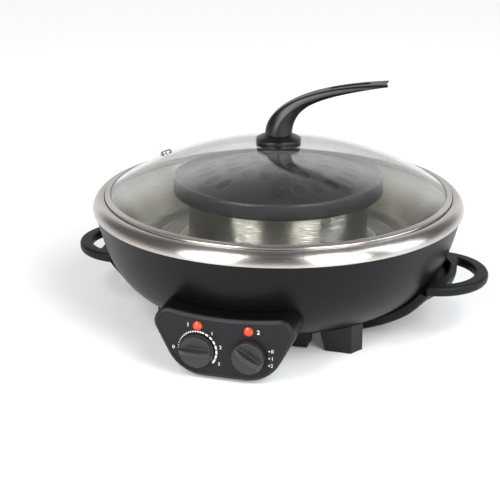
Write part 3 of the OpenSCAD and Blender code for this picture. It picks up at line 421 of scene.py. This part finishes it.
def knob_face(side, turn):
    """Rings from the knob's back edge up its drafted wall and over its face to the middle. The face is a
    shallow dish, lifted to the crest 13.1 - 5 (u/R)^2 where the eased step across the grip is 1; the
    step is steep above the grip and longer below it. u runs along the grip and v across it, and the
    rings close on a point 9 mm above the grip."""
    a = np.linspace(0, 2 * np.pi, 192, endpoint=False)
    share = np.concatenate([np.linspace(1, 0.94, 5), np.linspace(0.92, 0, 60)])
    rho = FACE_R * share[:, None]
    u, v = rho * np.cos(a), rho * np.sin(a) + 9 * (1 - share[:, None])
    dish = 6.4 - 1.3 * (1 - (u * u + v * v) / FACE_R ** 2)
    crest = GRIP_TOP - GRIP_FALL * (u / KNOB_R) ** 2 - 0.3 * (1.6 - v).clip(0)
    grip = (1 - ease(v, 2.3, 3.9)) * (1 - ease(-v, 1.8, 4.6))
    h = dish + (crest - dish) * grip
    h -= 0.9 * (1 - np.sqrt(np.clip(1 - ((share[:, None] - 0.94) / 0.06).clip(0) ** 2, 0, 1)))
    top = h[0]
    wall = np.stack([np.full_like(a, q) for q in (0, 0.35, 0.8)] + [top * s for s in (0.4, 0.7, 0.9)])
    wall_r = KNOB_R - np.array([0.5, 0.12, 0, 0.4, 0.7, 0.9])[:, None]
    h, u, v = (np.concatenate(pair) for pair in ((wall, h), (wall_r * np.cos(a), u), (wall_r * np.sin(a), v)))
    c, s = math.cos(math.radians(turn)), math.sin(math.radians(turn))
    grid = np.stack([side * KNOB_X + u * c + v * s, -(KNOB_BACK + h), KNOB_Z + v * c - u * s], -1)
    centre = np.broadcast_to([side * KNOB_X, -KNOB_BACK, KNOB_Z], grid[:1].shape)
    return np.concatenate([centre, grid])


knob_plastic = finish("satin_knob_plastic", (0.014, 0.014, 0.0158), 0.36, mottle=0.05, grain=0.6, relief=0.01)
for side, turn, word in ((-1, 0, "hotpot"), (1, 32, "grill")):
    fitted(skin(word + "_knob_cap", knob_face(side, turn), sharp=55),
           word + "_knob", "knob_plastic", knob_plastic, word + "_knob")

# Two indicator lenses of clear red plastic, snapped in from behind. Their faces are cut like a jewel so that
# the lamp behind sparkles; a dark joint runs round each. A faint painted glow in the red plastic stands in for
# the light of the lamp behind.
LIGHT_X, LIGHT_Z, LIGHT_R, SIDES, HALF_SIDE = 25, 55, 4.6, 10, 0.314


def jewel(side):
    """Rings of a low dome whose radius and height follow a circle, cut flat in ten sides with every
    second ring turned by half a side."""
    rows = np.array([(1, -3), (1, 0.5), (0.97, 0.9), (0.8, 1.5), (0.52, 2.1), (0.2, 2.35), (0, 2.38)])
    a = np.linspace(0, 2 * np.pi, SIDES, endpoint=False)
    a = a + np.where(np.arange(len(rows)) % 2, HALF_SIDE, 0)[:, None]
    rho = LIGHT_R * rows[:, :1]
    x, y, z = side * LIGHT_X + rho * np.cos(a), -FASCIA_Y - rows[:, 1:], LIGHT_Z + rho * np.sin(a)
    return np.stack(np.broadcast_arrays(x, y, z), -1)


# The lens emission is a painted glow that stands in for the lit lamp behind it; the lens itself gives no
# light.
lens_red_painted_glow = finish("clear_red_lens_painted_glow", (0.56, 0.055, 0.018), 0.16, mottle=0.3, patch=3, grain=2, relief=0.05,
                  Transmission_Weight=0.3, Emission_Color=(1, 0.13, 0.04, 1), Emission_Strength=0.22)
for side, word in ((-1, "hotpot"), (1, "grill")):
    lens = skin(word + "_lens_jewel", jewel(side), sharp=8)
    fitted(lens, "base", "light_red", lens_red_painted_glow, word + "_light_lens")

# The rim is a polished stainless steel ring rolled to a quarter round. It sits on the bowl's edge, and
# its turned-down inner edge carries the pot; the bottom edge is folded in, which leaves a bright line.
RIM_R, RIM_IN, RIM_LOW, RIM_TOP, RIM_SHEET, RIM_LIP = 194, 182.2, 117.5, 131.1, 1.2, 0.9
RIM_SEAT_R, RIM_TURNED = 189, 124.2


def turned_steel(name, colour, rough, lines, swing=0.12, mottle=0.1, tilt=0, **sockets):
    """Steel brushed round the axis: the noise is slow along the circle, because it reads the direction
    from the axis, and quick across it, because it reads radius plus height times 'lines' a mm. It
    swings colour and roughness, and a finer one leans the normal across the grooves by up to 'tilt';
    the tangent runs round the axis for stretched highlights."""
    material = bpy.data.materials.new(name)
    material.use_nodes = True
    tree = material.node_tree
    add, link = tree.nodes.new, tree.links.new
    shader = tree.nodes["Principled BSDF"]
    split, flat = add("ShaderNodeSeparateXYZ"), add("ShaderNodeCombineXYZ")
    size, way = add("ShaderNodeVectorMath"), add("ShaderNodeVectorMath")
    size.operation, way.operation = "LENGTH", "NORMALIZE"
    link(add("ShaderNodeTexCoord").outputs["Object"], split.inputs["Vector"])
    for axis in "XY":
        link(split.outputs[axis], flat.inputs[axis])
    link(flat.outputs["Vector"], size.inputs[0])
    link(flat.outputs["Vector"], way.inputs[0])
    total, scaled = add("ShaderNodeMath"), add("ShaderNodeMath")
    lift, read = add("ShaderNodeCombineXYZ"), add("ShaderNodeVectorMath")
    scaled.operation, read.operation = "MULTIPLY", "ADD"
    scaled.inputs[1].default_value = 1000 * lines
    link(size.outputs["Value"], total.inputs[0])
    link(split.outputs["Z"], total.inputs[1])
    link(total.outputs["Value"], scaled.inputs[0])
    link(scaled.outputs["Value"], lift.inputs["Z"])
    link(way.outputs["Vector"], read.inputs[0])
    link(lift.outputs["Vector"], read.inputs[1])
    noise = add("ShaderNodeTexNoise")
    noise.inputs["Scale"].default_value = 2.2
    noise.inputs["Detail"].default_value = 4
    link(read.outputs["Vector"], noise.inputs["Vector"])
    tint = add("ShaderNodeMix")
    tint.data_type = "RGBA"
    tint.inputs["A"].default_value = (*[c * (1 - mottle) for c in colour], 1)
    tint.inputs["B"].default_value = (*[min(c * (1 + mottle), 1) for c in colour], 1)
    link(noise.outputs["Fac"], tint.inputs["Factor"])
    link(tint.outputs["Result"], shader.inputs["Base Color"])
    spread = add("ShaderNodeMapRange")
    spread.inputs["To Min"].default_value = max(rough - swing, 0.02)
    spread.inputs["To Max"].default_value = rough + swing
    link(noise.outputs["Fac"], spread.inputs["Value"])
    link(spread.outputs["Result"], shader.inputs["Roughness"])
    around = add("ShaderNodeTangent")
    around.direction_type, around.axis = "RADIAL", "Z"
    link(around.outputs["Tangent"], shader.inputs["Tangent"])
    groove, slope = add("ShaderNodeTexNoise"), add("ShaderNodeMapRange")
    upright = add("ShaderNodeNewGeometry")
    groove.inputs["Scale"].default_value = 9
    link(read.outputs["Vector"], groove.inputs["Vector"])
    link(groove.outputs["Fac"], slope.inputs["Value"])
    for socket, value in zip(("From Min", "From Max", "To Min", "To Max"), (0.3, 0.7, -tilt, tilt)):
        slope.inputs[socket].default_value = value
    across, leant, normal = (add("ShaderNodeVectorMath") for _ in range(3))
    across.operation, leant.operation, normal.operation = "CROSS_PRODUCT", "MULTIPLY_ADD", "NORMALIZE"
    link(upright.outputs["Normal"], across.inputs[0])
    link(around.outputs["Tangent"], across.inputs[1])
    link(across.outputs["Vector"], leant.inputs[0])
    link(slope.outputs["Result"], leant.inputs[1])
    link(upright.outputs["Normal"], leant.inputs[2])
    link(leant.outputs["Vector"], normal.inputs[0])
    link(normal.outputs["Vector"], shader.inputs["Normal"])
    shader.inputs["Metallic"].default_value = 1
    for socket, value in sockets.items():
        shader.inputs[socket.replace("_", " ")].default_value = value
    return material


def eased(corners, radius, n=6):
    """Closed outline with eased corners: each corner P gives way to (1-t)^2 A + 2t(1-t) P + t^2 B, where
    A and B lie 'radius' before and after it, but no further than 0.45 of that side."""
    p = np.asarray(corners, float)
    before, after = np.roll(p, 1, 0) - p, np.roll(p, -1, 0) - p
    lb, la = np.linalg.norm(before, axis=1), np.linalg.norm(after, axis=1)
    a = p + before * (np.minimum(radius, 0.45 * lb) / lb)[:, None]
    b = p + after * (np.minimum(radius, 0.45 * la) / la)[:, None]
    t = np.linspace(0, 1, n)[None, :, None]
    return ((1 - t) ** 2 * a[:, None] + 2 * t * (1 - t) * p[:, None] + t ** 2 * b[:, None]).reshape(-1, 2)


def quarter(r, tall, steps=28):
    """Quarter of an ellipse from the rim's outside to its top: r cos a outwards and tall sin a up."""
    a = np.linspace(0, np.pi / 2, steps)
    return np.stack([RIM_IN + r * np.cos(a), RIM_LOW + RIM_LIP + tall * np.sin(a)], 1)


outside = quarter(RIM_R - RIM_IN, RIM_TOP - RIM_LOW - RIM_LIP)
inside = quarter(RIM_R - RIM_IN - RIM_SHEET, RIM_TOP - RIM_LOW - RIM_LIP - RIM_SHEET)[:-3]
fold = np.array([[RIM_R - 0.15, RIM_LOW + 0.5], [RIM_R - 0.5, RIM_LOW + 0.15], [RIM_R - 1.2, RIM_LOW + 0.02]])
rim_edge = [[RIM_IN, RIM_TURNED], [RIM_IN + RIM_SHEET, RIM_TURNED], [RIM_IN + RIM_SHEET, 129.4]]
rim_line = np.concatenate([[[RIM_SEAT_R, RIM_LOW + 0.02]], fold[::-1], outside, rim_edge,
                           inside[::-1], [[RIM_SEAT_R, RIM_LOW + RIM_SHEET]]])
rim_steel = turned_steel("polished_rim_steel", (0.5, 0.465, 0.435), 0.27, 0.4, swing=0.03, mottle=0.03,
                         tilt=0.03, Anisotropic=0.85, Anisotropic_Rotation=0.25)
fitted(skin("rolled_rim", spun(rim_line, 256), rows_close=True, sharp=40),
       "base", "polished_steel", rim_steel, "steel_rim")

# The pot is one deep-drawn stainless steel sheet: a ring channel with a leaning outer wall and a drum
# in the middle. It is brushed round its axis, and its floor has shallow pressed rings.
POT_FLOOR, DRUM_R, DRUM_TOP, LEDGE, POT_SHEET = 76.1, 94, 137.1, 124.1, 1.0
WALL_FOOT_R, WALL_ROUND, WALL_LEAN, DRUM_ROUND = 141, 9, 29, 5


def circle_part(centre, r, start, stop, steps=14):
    """Part of a circle in the plane, from one angle to another in degrees."""
    a = np.radians(np.linspace(start, stop, steps))
    return np.array(centre) + r * np.stack([np.cos(a), np.sin(a)], 1)


floor_r = np.linspace(100.5, 139, 60)
rings = 0.7 * np.exp(-((floor_r - 107) / 1.6) ** 2) + 0.7 * np.exp(-((floor_r - 131) / 1.8) ** 2)
wall_foot = circle_part([WALL_FOOT_R, POT_FLOOR + WALL_ROUND], WALL_ROUND, -90, -WALL_LEAN)
wall_end = wall_foot[-1]
wall_top = wall_end + np.array([math.tan(math.radians(WALL_LEAN)), 1]) * (LEDGE - wall_end[1])
pot_line = np.concatenate([
    [[78, DRUM_TOP], [91.6, DRUM_TOP]], circle_part([DRUM_R - 2, DRUM_TOP - 2], 2, 90, 0, 6),
    [[DRUM_R, 130], [DRUM_R, 90]],
    circle_part([DRUM_R + DRUM_ROUND, POT_FLOOR + DRUM_ROUND], DRUM_ROUND, 180, 270),
    np.stack([floor_r, POT_FLOOR + rings], 1), wall_foot,
    wall_end + np.linspace(0.1, 0.9, 6)[:, None] * (wall_top - wall_end),
    [wall_top - [0.7, 1.2], wall_top + [0.3, -0.15], wall_top + [1.4, 0], [185.3, LEDGE]]])
pot_sheet = np.concatenate([pot_line, moved_out(pot_line, POT_SHEET)[::-1]])
pot_steel = turned_steel("brushed_pot_steel", (0.6, 0.57, 0.51), 0.3, 0.9, swing=0.04, mottle=0.14, tilt=0.75,
                         Anisotropic=0.9, Anisotropic_Rotation=0.25)
fitted(skin("drawn_ring_pot", spun(pot_sheet, 256), rows_close=True, sharp=45),
       "base", "pot_steel", pot_steel, "ring_pot")

# The heaters, controls and wiring sit inside and show only from below or with a piece lifted off.
# They are bought-in parts: darkened steel tubes, pale resin cases, brass and silicone sleeves.
element = finish("heat_darkened_tube", (0.16, 0.13, 0.11), 0.45, mottle=0.35, patch=18, grain=0.8,
                 Metallic=0.9)
resin = finish("pale_resin", (0.6, 0.56, 0.46), 0.5, grain=0.8, edge=0.5)
brass = finish("probe_brass", (0.55, 0.42, 0.18), 0.35, mottle=0.15, patch=6, edge=0.3, Metallic=1.0)
sleeve = finish("silicone_sleeve", (0.25, 0.05, 0.04), 0.6, grain=0.8)
neon = finish("neon_lamp_glass", (0.9, 0.6, 0.4), 0.1, patch=3, Transmission_Weight=0.6)
repaint(element, "pot_element", "grill_element")
repaint(resin, "hotpot_thermostat", "grill_switch", "terminal_block")
repaint(brass, "temperature_probe")
repaint(sleeve, "wires")
repaint(neon, "hotpot_lamp", "grill_lamp")

# The grill plate is a dark grey coated aluminium casting that lies loose on the drum: a dome with
# three rings of sunk pads, a flat gutter round it, and an upright skirt with a thin worn lip.
PLATE_LOW, PLATE_TOP, GUTTER, SEAT_Z, SKIRT_Z = 133.1, 148.8, 145.4, 137.5, 141.6
DOME_R, DOME_RISE, DOME_WALL, SEAT_R = 94.2, 18.5, 5.5, 87
PAD_RINGS = ((76, 24, 18, 11.5), (49.5, 16, 16, 11.5), (26, 8, 12, 10.5))
PLATE_STEPS, PAD_DEEP, BARE_AT, BARE_R = 576, 0.5, -97.5, 62


def pads_at(r, a):
    """Share of a pad at a radius and an angle: an eased step of the distance to the nearest of the short
    lines that point at the middle, and 0 in the bare place at the front."""
    share = 0 * (r + a)
    for ring, count, length, width in PAD_RINGS:
        pitch = 2 * np.pi / count
        across = np.abs((a / pitch + 0.5) % 1 - 0.5) * pitch * r
        along = np.maximum(np.abs(r - ring) - (length - width) / 2, 0)
        share = np.maximum(share, 1 - ease(np.hypot(across, along), width / 2 - 0.9, width / 2 + 0.5))
    return np.where((np.cos(a - math.radians(BARE_AT)) > 0.968) & (r > BARE_R), 0, share)


def dome_z(r):
    """Height of the plate's dome at a radius: 1 mm over the gutter at its edge, and a parabola over that."""
    return GUTTER + 1 + DOME_RISE * (1 - (np.asarray(r, float) / DOME_R) ** 2)


def dome_top():
    """Grid over the plate: the height of the dome, and of the gutter beyond it, less the pads' depth."""
    a = np.linspace(0, 2 * np.pi, PLATE_STEPS, endpoint=False)[None, :]
    r = np.concatenate([np.linspace(0, 18, 6, endpoint=False), np.linspace(18, 92, 118),
                        [93, DOME_R, 95.2, 96.6, 98, 100.6, 102.4]])[:, None]
    z = np.where(r > DOME_R, GUTTER + (1 - ease(r, 93.4, 97)), dome_z(r))
    return np.stack([r * np.cos(a), r * np.sin(a), z - PAD_DEEP * pads_at(r, a)], -1)


def mark_pads(piece, material):
    """Stores the pads' share on the points of a plate, and lets it dull and tint the coating there."""
    points = np.empty(len(piece.data.vertices) * 3)
    piece.data.vertices.foreach_get("co", points)
    x, y, z = points.reshape(-1, 3).T * 1000
    r = np.hypot(x, y)
    share = np.where((r < DOME_R) & (z > dome_z(r) - 1), pads_at(r, np.arctan2(y, x)), 0)
    piece.data.attributes.new("pad", "FLOAT", "POINT").data.foreach_set("value", share.astype(np.float32))
    tree = material.node_tree
    shader = tree.nodes["Principled BSDF"]
    pad = tree.nodes.new("ShaderNodeAttribute")
    pad.attribute_name = "pad"
    gloss, tint = tree.nodes.new("ShaderNodeMapRange"), tree.nodes.new("ShaderNodeMix")
    gloss.inputs["To Min"].default_value, gloss.inputs["To Max"].default_value = 0.7, 0.2
    tree.links.new(pad.outputs["Fac"], gloss.inputs["Value"])
    tree.links.new(gloss.outputs["Result"], shader.inputs["Specular IOR Level"])
    tint.data_type = "RGBA"
    tint.inputs["B"].default_value = (0.028, 0.028, 0.029, 1)
    tree.links.new(pad.outputs["Fac"], tint.inputs["Factor"])
    tree.links.new(shader.inputs["Base Color"].links[0].from_socket, tint.inputs["A"])
    tree.links.new(tint.outputs["Result"], shader.inputs["Base Color"])


skirt = [[103.6, GUTTER + 0.15], [104.6, GUTTER + 0.8], [105.9, PLATE_TOP - 0.7], [106.4, PLATE_TOP - 0.15],
         [107, PLATE_TOP], [107.7, PLATE_TOP], [108.1, PLATE_TOP - 0.2], [108.35, PLATE_TOP - 0.7],
         [108.6, PLATE_TOP - 3], [109.3, PLATE_LOW + 3], [109.5, PLATE_LOW + 0.9], [109.2, PLATE_LOW + 0.2],
         [108.6, PLATE_LOW], [106, PLATE_LOW], [105, PLATE_LOW + 0.6], [103.6, SKIRT_Z], [92.5, SKIRT_Z],
         [92.5, SEAT_Z], [SEAT_R, SEAT_Z]]
under = np.linspace(SEAT_R, 0, 10)
skirt = np.concatenate([skirt, np.stack([under, dome_z(under) - DOME_WALL], 1)])
plate_grid = np.concatenate([dome_top(), spun(skirt, PLATE_STEPS)])
plate_coat = finish("grey_plate_coating", (0.026, 0.026, 0.027), 0.38, mottle=0.06, patch=35, grain=1.0,
                    relief=0.02, swing=0.06)
plate = fitted(skin("cast_grill_plate", plate_grid, sharp=40),
               "grill_plate", "grill_coating", plate_coat, "grill_plate")
mark_pads(plate, plate_coat)

# The lid is a dome of toughened clear glass in a rolled steel band. It lies loose on the rim's ledge,
# and a small steel eyelet lets out the steam.
BALL_R, BALL_Z, GLASS_T, GLASS_R = 340.6, -158.0, 4, 179.5
BAND_LOW, BAND_HIGH, BAND_R, BAND_LIP_R, GLASS_EDGE_R = 124.5, 132.9, 181.3, 175.2, 179.6
VENT_R, VENT_TURN = 139, math.radians(167)


def ball_z(r, inward=0.0):
    """Height of the dome at a radius: its ball's centre plus the root of the ball's radius squared less
    r squared."""
    return BALL_Z + np.sqrt((BALL_R - inward) ** 2 - np.asarray(r, float) ** 2)


r = np.linspace(0, GLASS_R, 90)
glass_line = np.concatenate([np.stack([r, ball_z(r)], 1), np.stack([r, ball_z(r, GLASS_T)], 1)[::-1]])
clear_glass = finish("clear_lid_glass", (0.965, 0.98, 0.975), 0.0, mottle=0.01, patch=200, grain=60,
                     relief=0.0, swing=0.0, Transmission_Weight=1.0, IOR=1.5)
fitted(skin("glass_dome", spun(glass_line, 200), sharp=40), "lid", "lid_glass", clear_glass, "lid_glass")
band_line = eased([[BAND_R, BAND_LOW], [BAND_R, BAND_HIGH], [BAND_LIP_R + 1, BAND_HIGH + 1.35],
                   [BAND_LIP_R, ball_z(BAND_LIP_R) + 0.15], [GLASS_EDGE_R, ball_z(GLASS_EDGE_R) + 0.15],
                   [GLASS_EDGE_R, BAND_LOW]], 0.8)
fitted(skin("rolled_lid_band", spun(band_line, 256), rows_close=True, sharp=40),
       "lid", "polished_steel", rim_steel, "lid_band")


def turned(x, y, angle):
    """Two coordinates turned by an angle: x cos - y sin and x sin + y cos."""
    return x * math.cos(angle) - y * math.sin(angle), x * math.sin(angle) + y * math.cos(angle)


def eyelet():
    """Profile of the eyelet spun about its own axis, then turned to stand square on the ball at the vent."""
    line = eased([[2.4, -5], [2.4, 2.6], [3.4, 3.4], [5.2, 3.2], [6.4, 1.9], [6.5, 0.1], [4, 0.05],
                  [4, -4.05], [6.4, -4.1], [6.4, -5]], 0.5)
    x, y, z = np.moveaxis(spun(line, 48), -1, 0)
    z, x = turned(z + BALL_R, x, math.asin(VENT_R / BALL_R))
    return np.stack([*turned(x, y, VENT_TURN), z + BALL_Z], -1)


eyelet_steel = finish("nickel_eyelet", (0.45, 0.41, 0.36), 0.25, mottle=0.2, patch=5, grain=0.5, Metallic=1.0)
fitted(skin("vent_eyelet_ring", eyelet(), rows_close=True, sharp=45),
       "lid", "polished_steel", eyelet_steel, "vent_eyelet")

# The lid's handle is satin black plastic in two mouldings: a round foot on the glass, and a stem that
# bends over into a flat forked tongue with a hanging slot. One screw from below holds both.
DOME, STEM_Z, STEM_R, REACH, RISE, TIP = 182.6, 193.1, 14, 112, 57.6, 3.4
HANDLE_TURN, FORK = math.radians(8), 5
SLOT_IN, SLOT_OUT, SLOT_HALF = 55.6, 90.4, 3.6
FOOT_R, FOOT_BORE, GROOVE_R = 23.4, 2.2, 22.7
foot_line = eased([[FOOT_BORE, ball_z(FOOT_BORE) + 0.1], [FOOT_R, ball_z(FOOT_R) + 0.1], [FOOT_R, DOME + 1.2],
                   [GROOVE_R, DOME + 1.5], [GROOVE_R, DOME + 2], [FOOT_R, DOME + 2.3], [FOOT_R, DOME + 6.2],
                   [15.2, STEM_Z - 0.1], [FOOT_BORE, STEM_Z - 0.1]], 0.9)
handle_black = finish("satin_black_plastic", (0.0035, 0.0035, 0.004), 0.3, mottle=0.05, grain=0.8, relief=0.01,
                      edge=0.5, Specular_IOR_Level=0.4)
fitted(skin("handle_foot_disc", spun(foot_line, 128), rows_close=True, sharp=40),
       "lid", "lid_handle_plastic", handle_black, "handle_foot")


def bent_handle():
    """Sections along the handle between an upper and a lower side curve. A section is round at the stem
    and turns into two arches, 1 - |u|^m, back to back, so a ridge runs along each side; m grows and the
    arches flatten towards the tip. The tip is drawn back in the middle, and all is turned a little."""
    t = np.concatenate([np.linspace(0, 0.96, 90), np.linspace(0.965, 1, 12)])
    upper = pulled_curve([[-STEM_R, STEM_Z], [-STEM_R, STEM_Z + 0.52 * RISE],
                          [0.27 * REACH, STEM_Z + 0.92 * RISE], [REACH, STEM_Z + RISE - 0.1]], t)
    lower = pulled_curve([[STEM_R, STEM_Z], [1.1 * STEM_R, STEM_Z + 0.54 * RISE],
                          [0.36 * REACH, STEM_Z + 0.77 * RISE - TIP], [0.99 * REACH, STEM_Z + RISE - TIP]], t)
    half = np.interp(t, [0, 0.2, 0.45, 0.7, 1], [STEM_R, 12.4, 10.8, 11.8, 13.4])[:, None]
    a = np.linspace(0, 2 * np.pi, 96, endpoint=False)[None, :]
    u, s = np.cos(a), np.sin(a)
    above, below = (2.5 + 6 * ease(t, 0.1, 0.6))[:, None], (2.2 + 3 * ease(t, 0.2, 0.7))[:, None]
    arch = 1 - np.abs(u) ** np.where(s >= 0, above, below)
    bend = (0.2 + 0.75 * ease(t, 0.02, 0.35))[:, None]
    lift = (1 - bend) * np.abs(s) + bend * arch
    ridge = (0.5 + 0.1 * ease(t, 0.1, 0.9))[:, None]
    y = half * u
    share = ridge - np.where(s >= 0, ridge, ridge - 1) * lift
    line = upper[:, None] + share[:, :, None] * (lower - upper)[:, None]
    x = line[:, :, 0] - FORK * ease(t, 0.86, 1)[:, None] * (1 - np.abs(y) / half) ** 1.2
    grid = np.stack([x, y, line[:, :, 1]], -1)
    flat = grid[-1].copy()
    flat[:, 2] = flat[:, 2].mean()
    foot = np.broadcast_to(grid[0].mean(0), grid[:1].shape)
    x, y, z = np.moveaxis(np.concatenate([foot, grid, flat[None]]), -1, 0)
    return np.stack([*turned(x, y, HANDLE_TURN), z], -1)


def slot_cutter():
    """Upright stadium prism: two half circles of the slot's half width, apart along the tongue."""
    a = np.linspace(-np.pi / 2, np.pi / 2, 16)
    right = np.stack([SLOT_OUT + SLOT_HALF * np.cos(a), SLOT_HALF * np.sin(a)], 1)
    left = np.stack([SLOT_IN - SLOT_HALF * np.cos(a), -SLOT_HALF * np.sin(a)], 1)
    x, y = turned(*np.concatenate([right, left]).T, HANDLE_TURN)
    rows = [np.stack([x, y, np.full_like(x, z)], 1) for z in (220, 260)]
    ends = [np.broadcast_to(row.mean(0), row.shape) for row in rows]
    return np.array([ends[0], *rows, ends[1]])


handle, cutter = skin("bent_lid_handle", bent_handle()), skin("slot_cutter", slot_cutter())
slot = handle.modifiers.new("hanging_slot", "BOOLEAN")
slot.object, slot.solver = cutter, "EXACT"
cut_mesh = bpy.data.meshes.new_from_object(handle.evaluated_get(bpy.context.evaluated_depsgraph_get()))
handle.modifiers.remove(slot)
handle.data = cut_mesh
bpy.data.objects.remove(cutter)
cut_mesh.shade_smooth()
cut_mesh.set_sharp_from_angle(angle=math.radians(48))
fitted(handle, "lid", "lid_handle_plastic", handle_black, "lid_handle")

# The studio: a plain pale floor, a soft sky, and soft boxes round the pot at the photograph's angles.
# The floor glows more the further out it lies, so that it meets the sky without an edge.
FLOOR_HALF, GLOW_FAR = 9, 3


def set_stops(ramp, stops, new_at):
    """Gives a colour ramp its stops, each a place from 0 to 1 and a grey."""
    while len(ramp.elements) < len(stops):
        ramp.elements.new(new_at)
    for stop, (at, value) in zip(ramp.elements, stops):
        stop.position, stop.color = at, (value, value, value, 1)


floor = bpy.data.objects.new("studio_floor", bpy.data.meshes.new("studio_floor"))
corners = [(x * FLOOR_HALF, y * FLOOR_HALF, 0) for x, y in ((-1, -1), (1, -1), (1, 1), (-1, 1))]
floor.data.from_pydata(corners, [], [(0, 1, 2, 3)])
pale = finish("pale_floor", (0.9, 0.9, 0.9), 0.6, mottle=0.01, patch=800, grain=3, relief=0.02)
tree = pale.node_tree
glow, away = tree.nodes.new("ShaderNodeValToRGB"), tree.nodes.new("ShaderNodeVectorMath")
away.operation = "LENGTH"
set_stops(glow.color_ramp, ((0.06, 0.08), (0.35, 0.4), (0.75, 0.52), (1, 0.64)), 0.5)
far = tree.nodes.new("ShaderNodeMath")
far.operation = "DIVIDE"
far.inputs[1].default_value = GLOW_FAR
shader = tree.nodes["Principled BSDF"]
shader.inputs["Emission Color"].default_value = (1, 1, 1, 1)
for source, target in ((tree.nodes["Texture Coordinate"].outputs["Object"], away.inputs[0]),
                       (away.outputs["Value"], far.inputs[0]), (far.outputs["Value"], glow.inputs["Fac"]),
                       (glow.outputs["Color"], shader.inputs["Emission Strength"])):
    tree.links.new(source, target)
floor.data.materials.append(pale)
bpy.context.scene.collection.objects.link(floor)

world = bpy.data.worlds.new("studio_sky")
world.use_nodes = True
sky = world.node_tree
back = sky.nodes["Background"]
toward, behind = sky.nodes.new("ShaderNodeVectorMath"), sky.nodes.new("ShaderNodeValToRGB")
toward.operation = "DOT_PRODUCT"
toward.inputs[1].default_value = (-0.28, 0.96, 0)
set_stops(behind.color_ramp, ((0.54, 0.13), (0.67, 0.24), (0.78, 0.8), (0.85, 1), (0.93, 0.7), (1, 0.6)), 0.7)
back.inputs["Strength"].default_value = 1.16
height, low = sky.nodes.new("ShaderNodeSeparateXYZ"), sky.nodes.new("ShaderNodeMapRange")
brighter = sky.nodes.new("ShaderNodeMath")
brighter.operation = "MAXIMUM"
for socket, value in (("From Min", 0.05), ("From Max", 0.2), ("To Min", 0.62), ("To Max", 0)):
    low.inputs[socket].default_value = value
way = sky.nodes.new("ShaderNodeTexCoord").outputs["Generated"]
for source, target in ((way, toward.inputs[0]), (toward.outputs["Value"], behind.inputs["Fac"]),
                       (way, height.inputs["Vector"]), (height.outputs["Z"], low.inputs["Value"]),
                       (behind.outputs["Color"], brighter.inputs[0]),
                       (low.outputs["Result"], brighter.inputs[1]),
                       (brighter.outputs["Value"], back.inputs["Color"])):
    sky.links.new(source, target)
bpy.context.scene.world = world


def soft_box(name, turn, low, high, away, wide, power, colour=(1, 1, 1)):
    """An upright rectangular light at an azimuth round the pot, between two heights, facing the axis."""
    light = bpy.data.lights.new(name, "AREA")
    light.shape, light.size, light.size_y = "RECTANGLE", wide, high - low
    light.energy, light.color = power, colour
    lamp = bpy.data.objects.new(name, light)
    inward = Vector((-math.sin(math.radians(turn)), math.cos(math.radians(turn)), 0))
    lamp.location = -away * inward + Vector((0, 0, (low + high) / 2))
    lamp.rotation_euler = inward.to_track_quat("-Z", "Y").to_euler()
    lamp.visible_camera = False
    bpy.context.scene.collection.objects.link(lamp)


BOX_LOW, BOX_AWAY, WINDOW_BLUE = 0.3, 1.35, (0.85, 0.93, 1)
soft_box("left_box", -25, BOX_LOW, 2.4, BOX_AWAY, 0.75, 40)
soft_box("right_box", 51, BOX_LOW, 2.4, BOX_AWAY, 0.75, 40)
soft_box("window_box", 94, BOX_LOW, 2.3, BOX_AWAY, 0.6, 18, WINDOW_BLUE)

camera = bpy.data.objects.new("photo_camera", bpy.data.cameras.new("photo_camera"))
camera.data.lens, camera.data.sensor_width = 92.63, 36
camera.location = (0.33425, -1.24848, 0.53836)
yaw, pitch = math.radians(16.297), math.radians(20.127)
sight = Vector((-math.sin(yaw) * math.cos(pitch), math.cos(yaw) * math.cos(pitch), -math.sin(pitch)))
camera.rotation_euler = sight.to_track_quat("-Z", "Y").to_euler()
bpy.context.scene.collection.objects.link(camera)
bpy.context.scene.camera = camera
bpy.context.scene.view_settings.view_transform = "Standard"
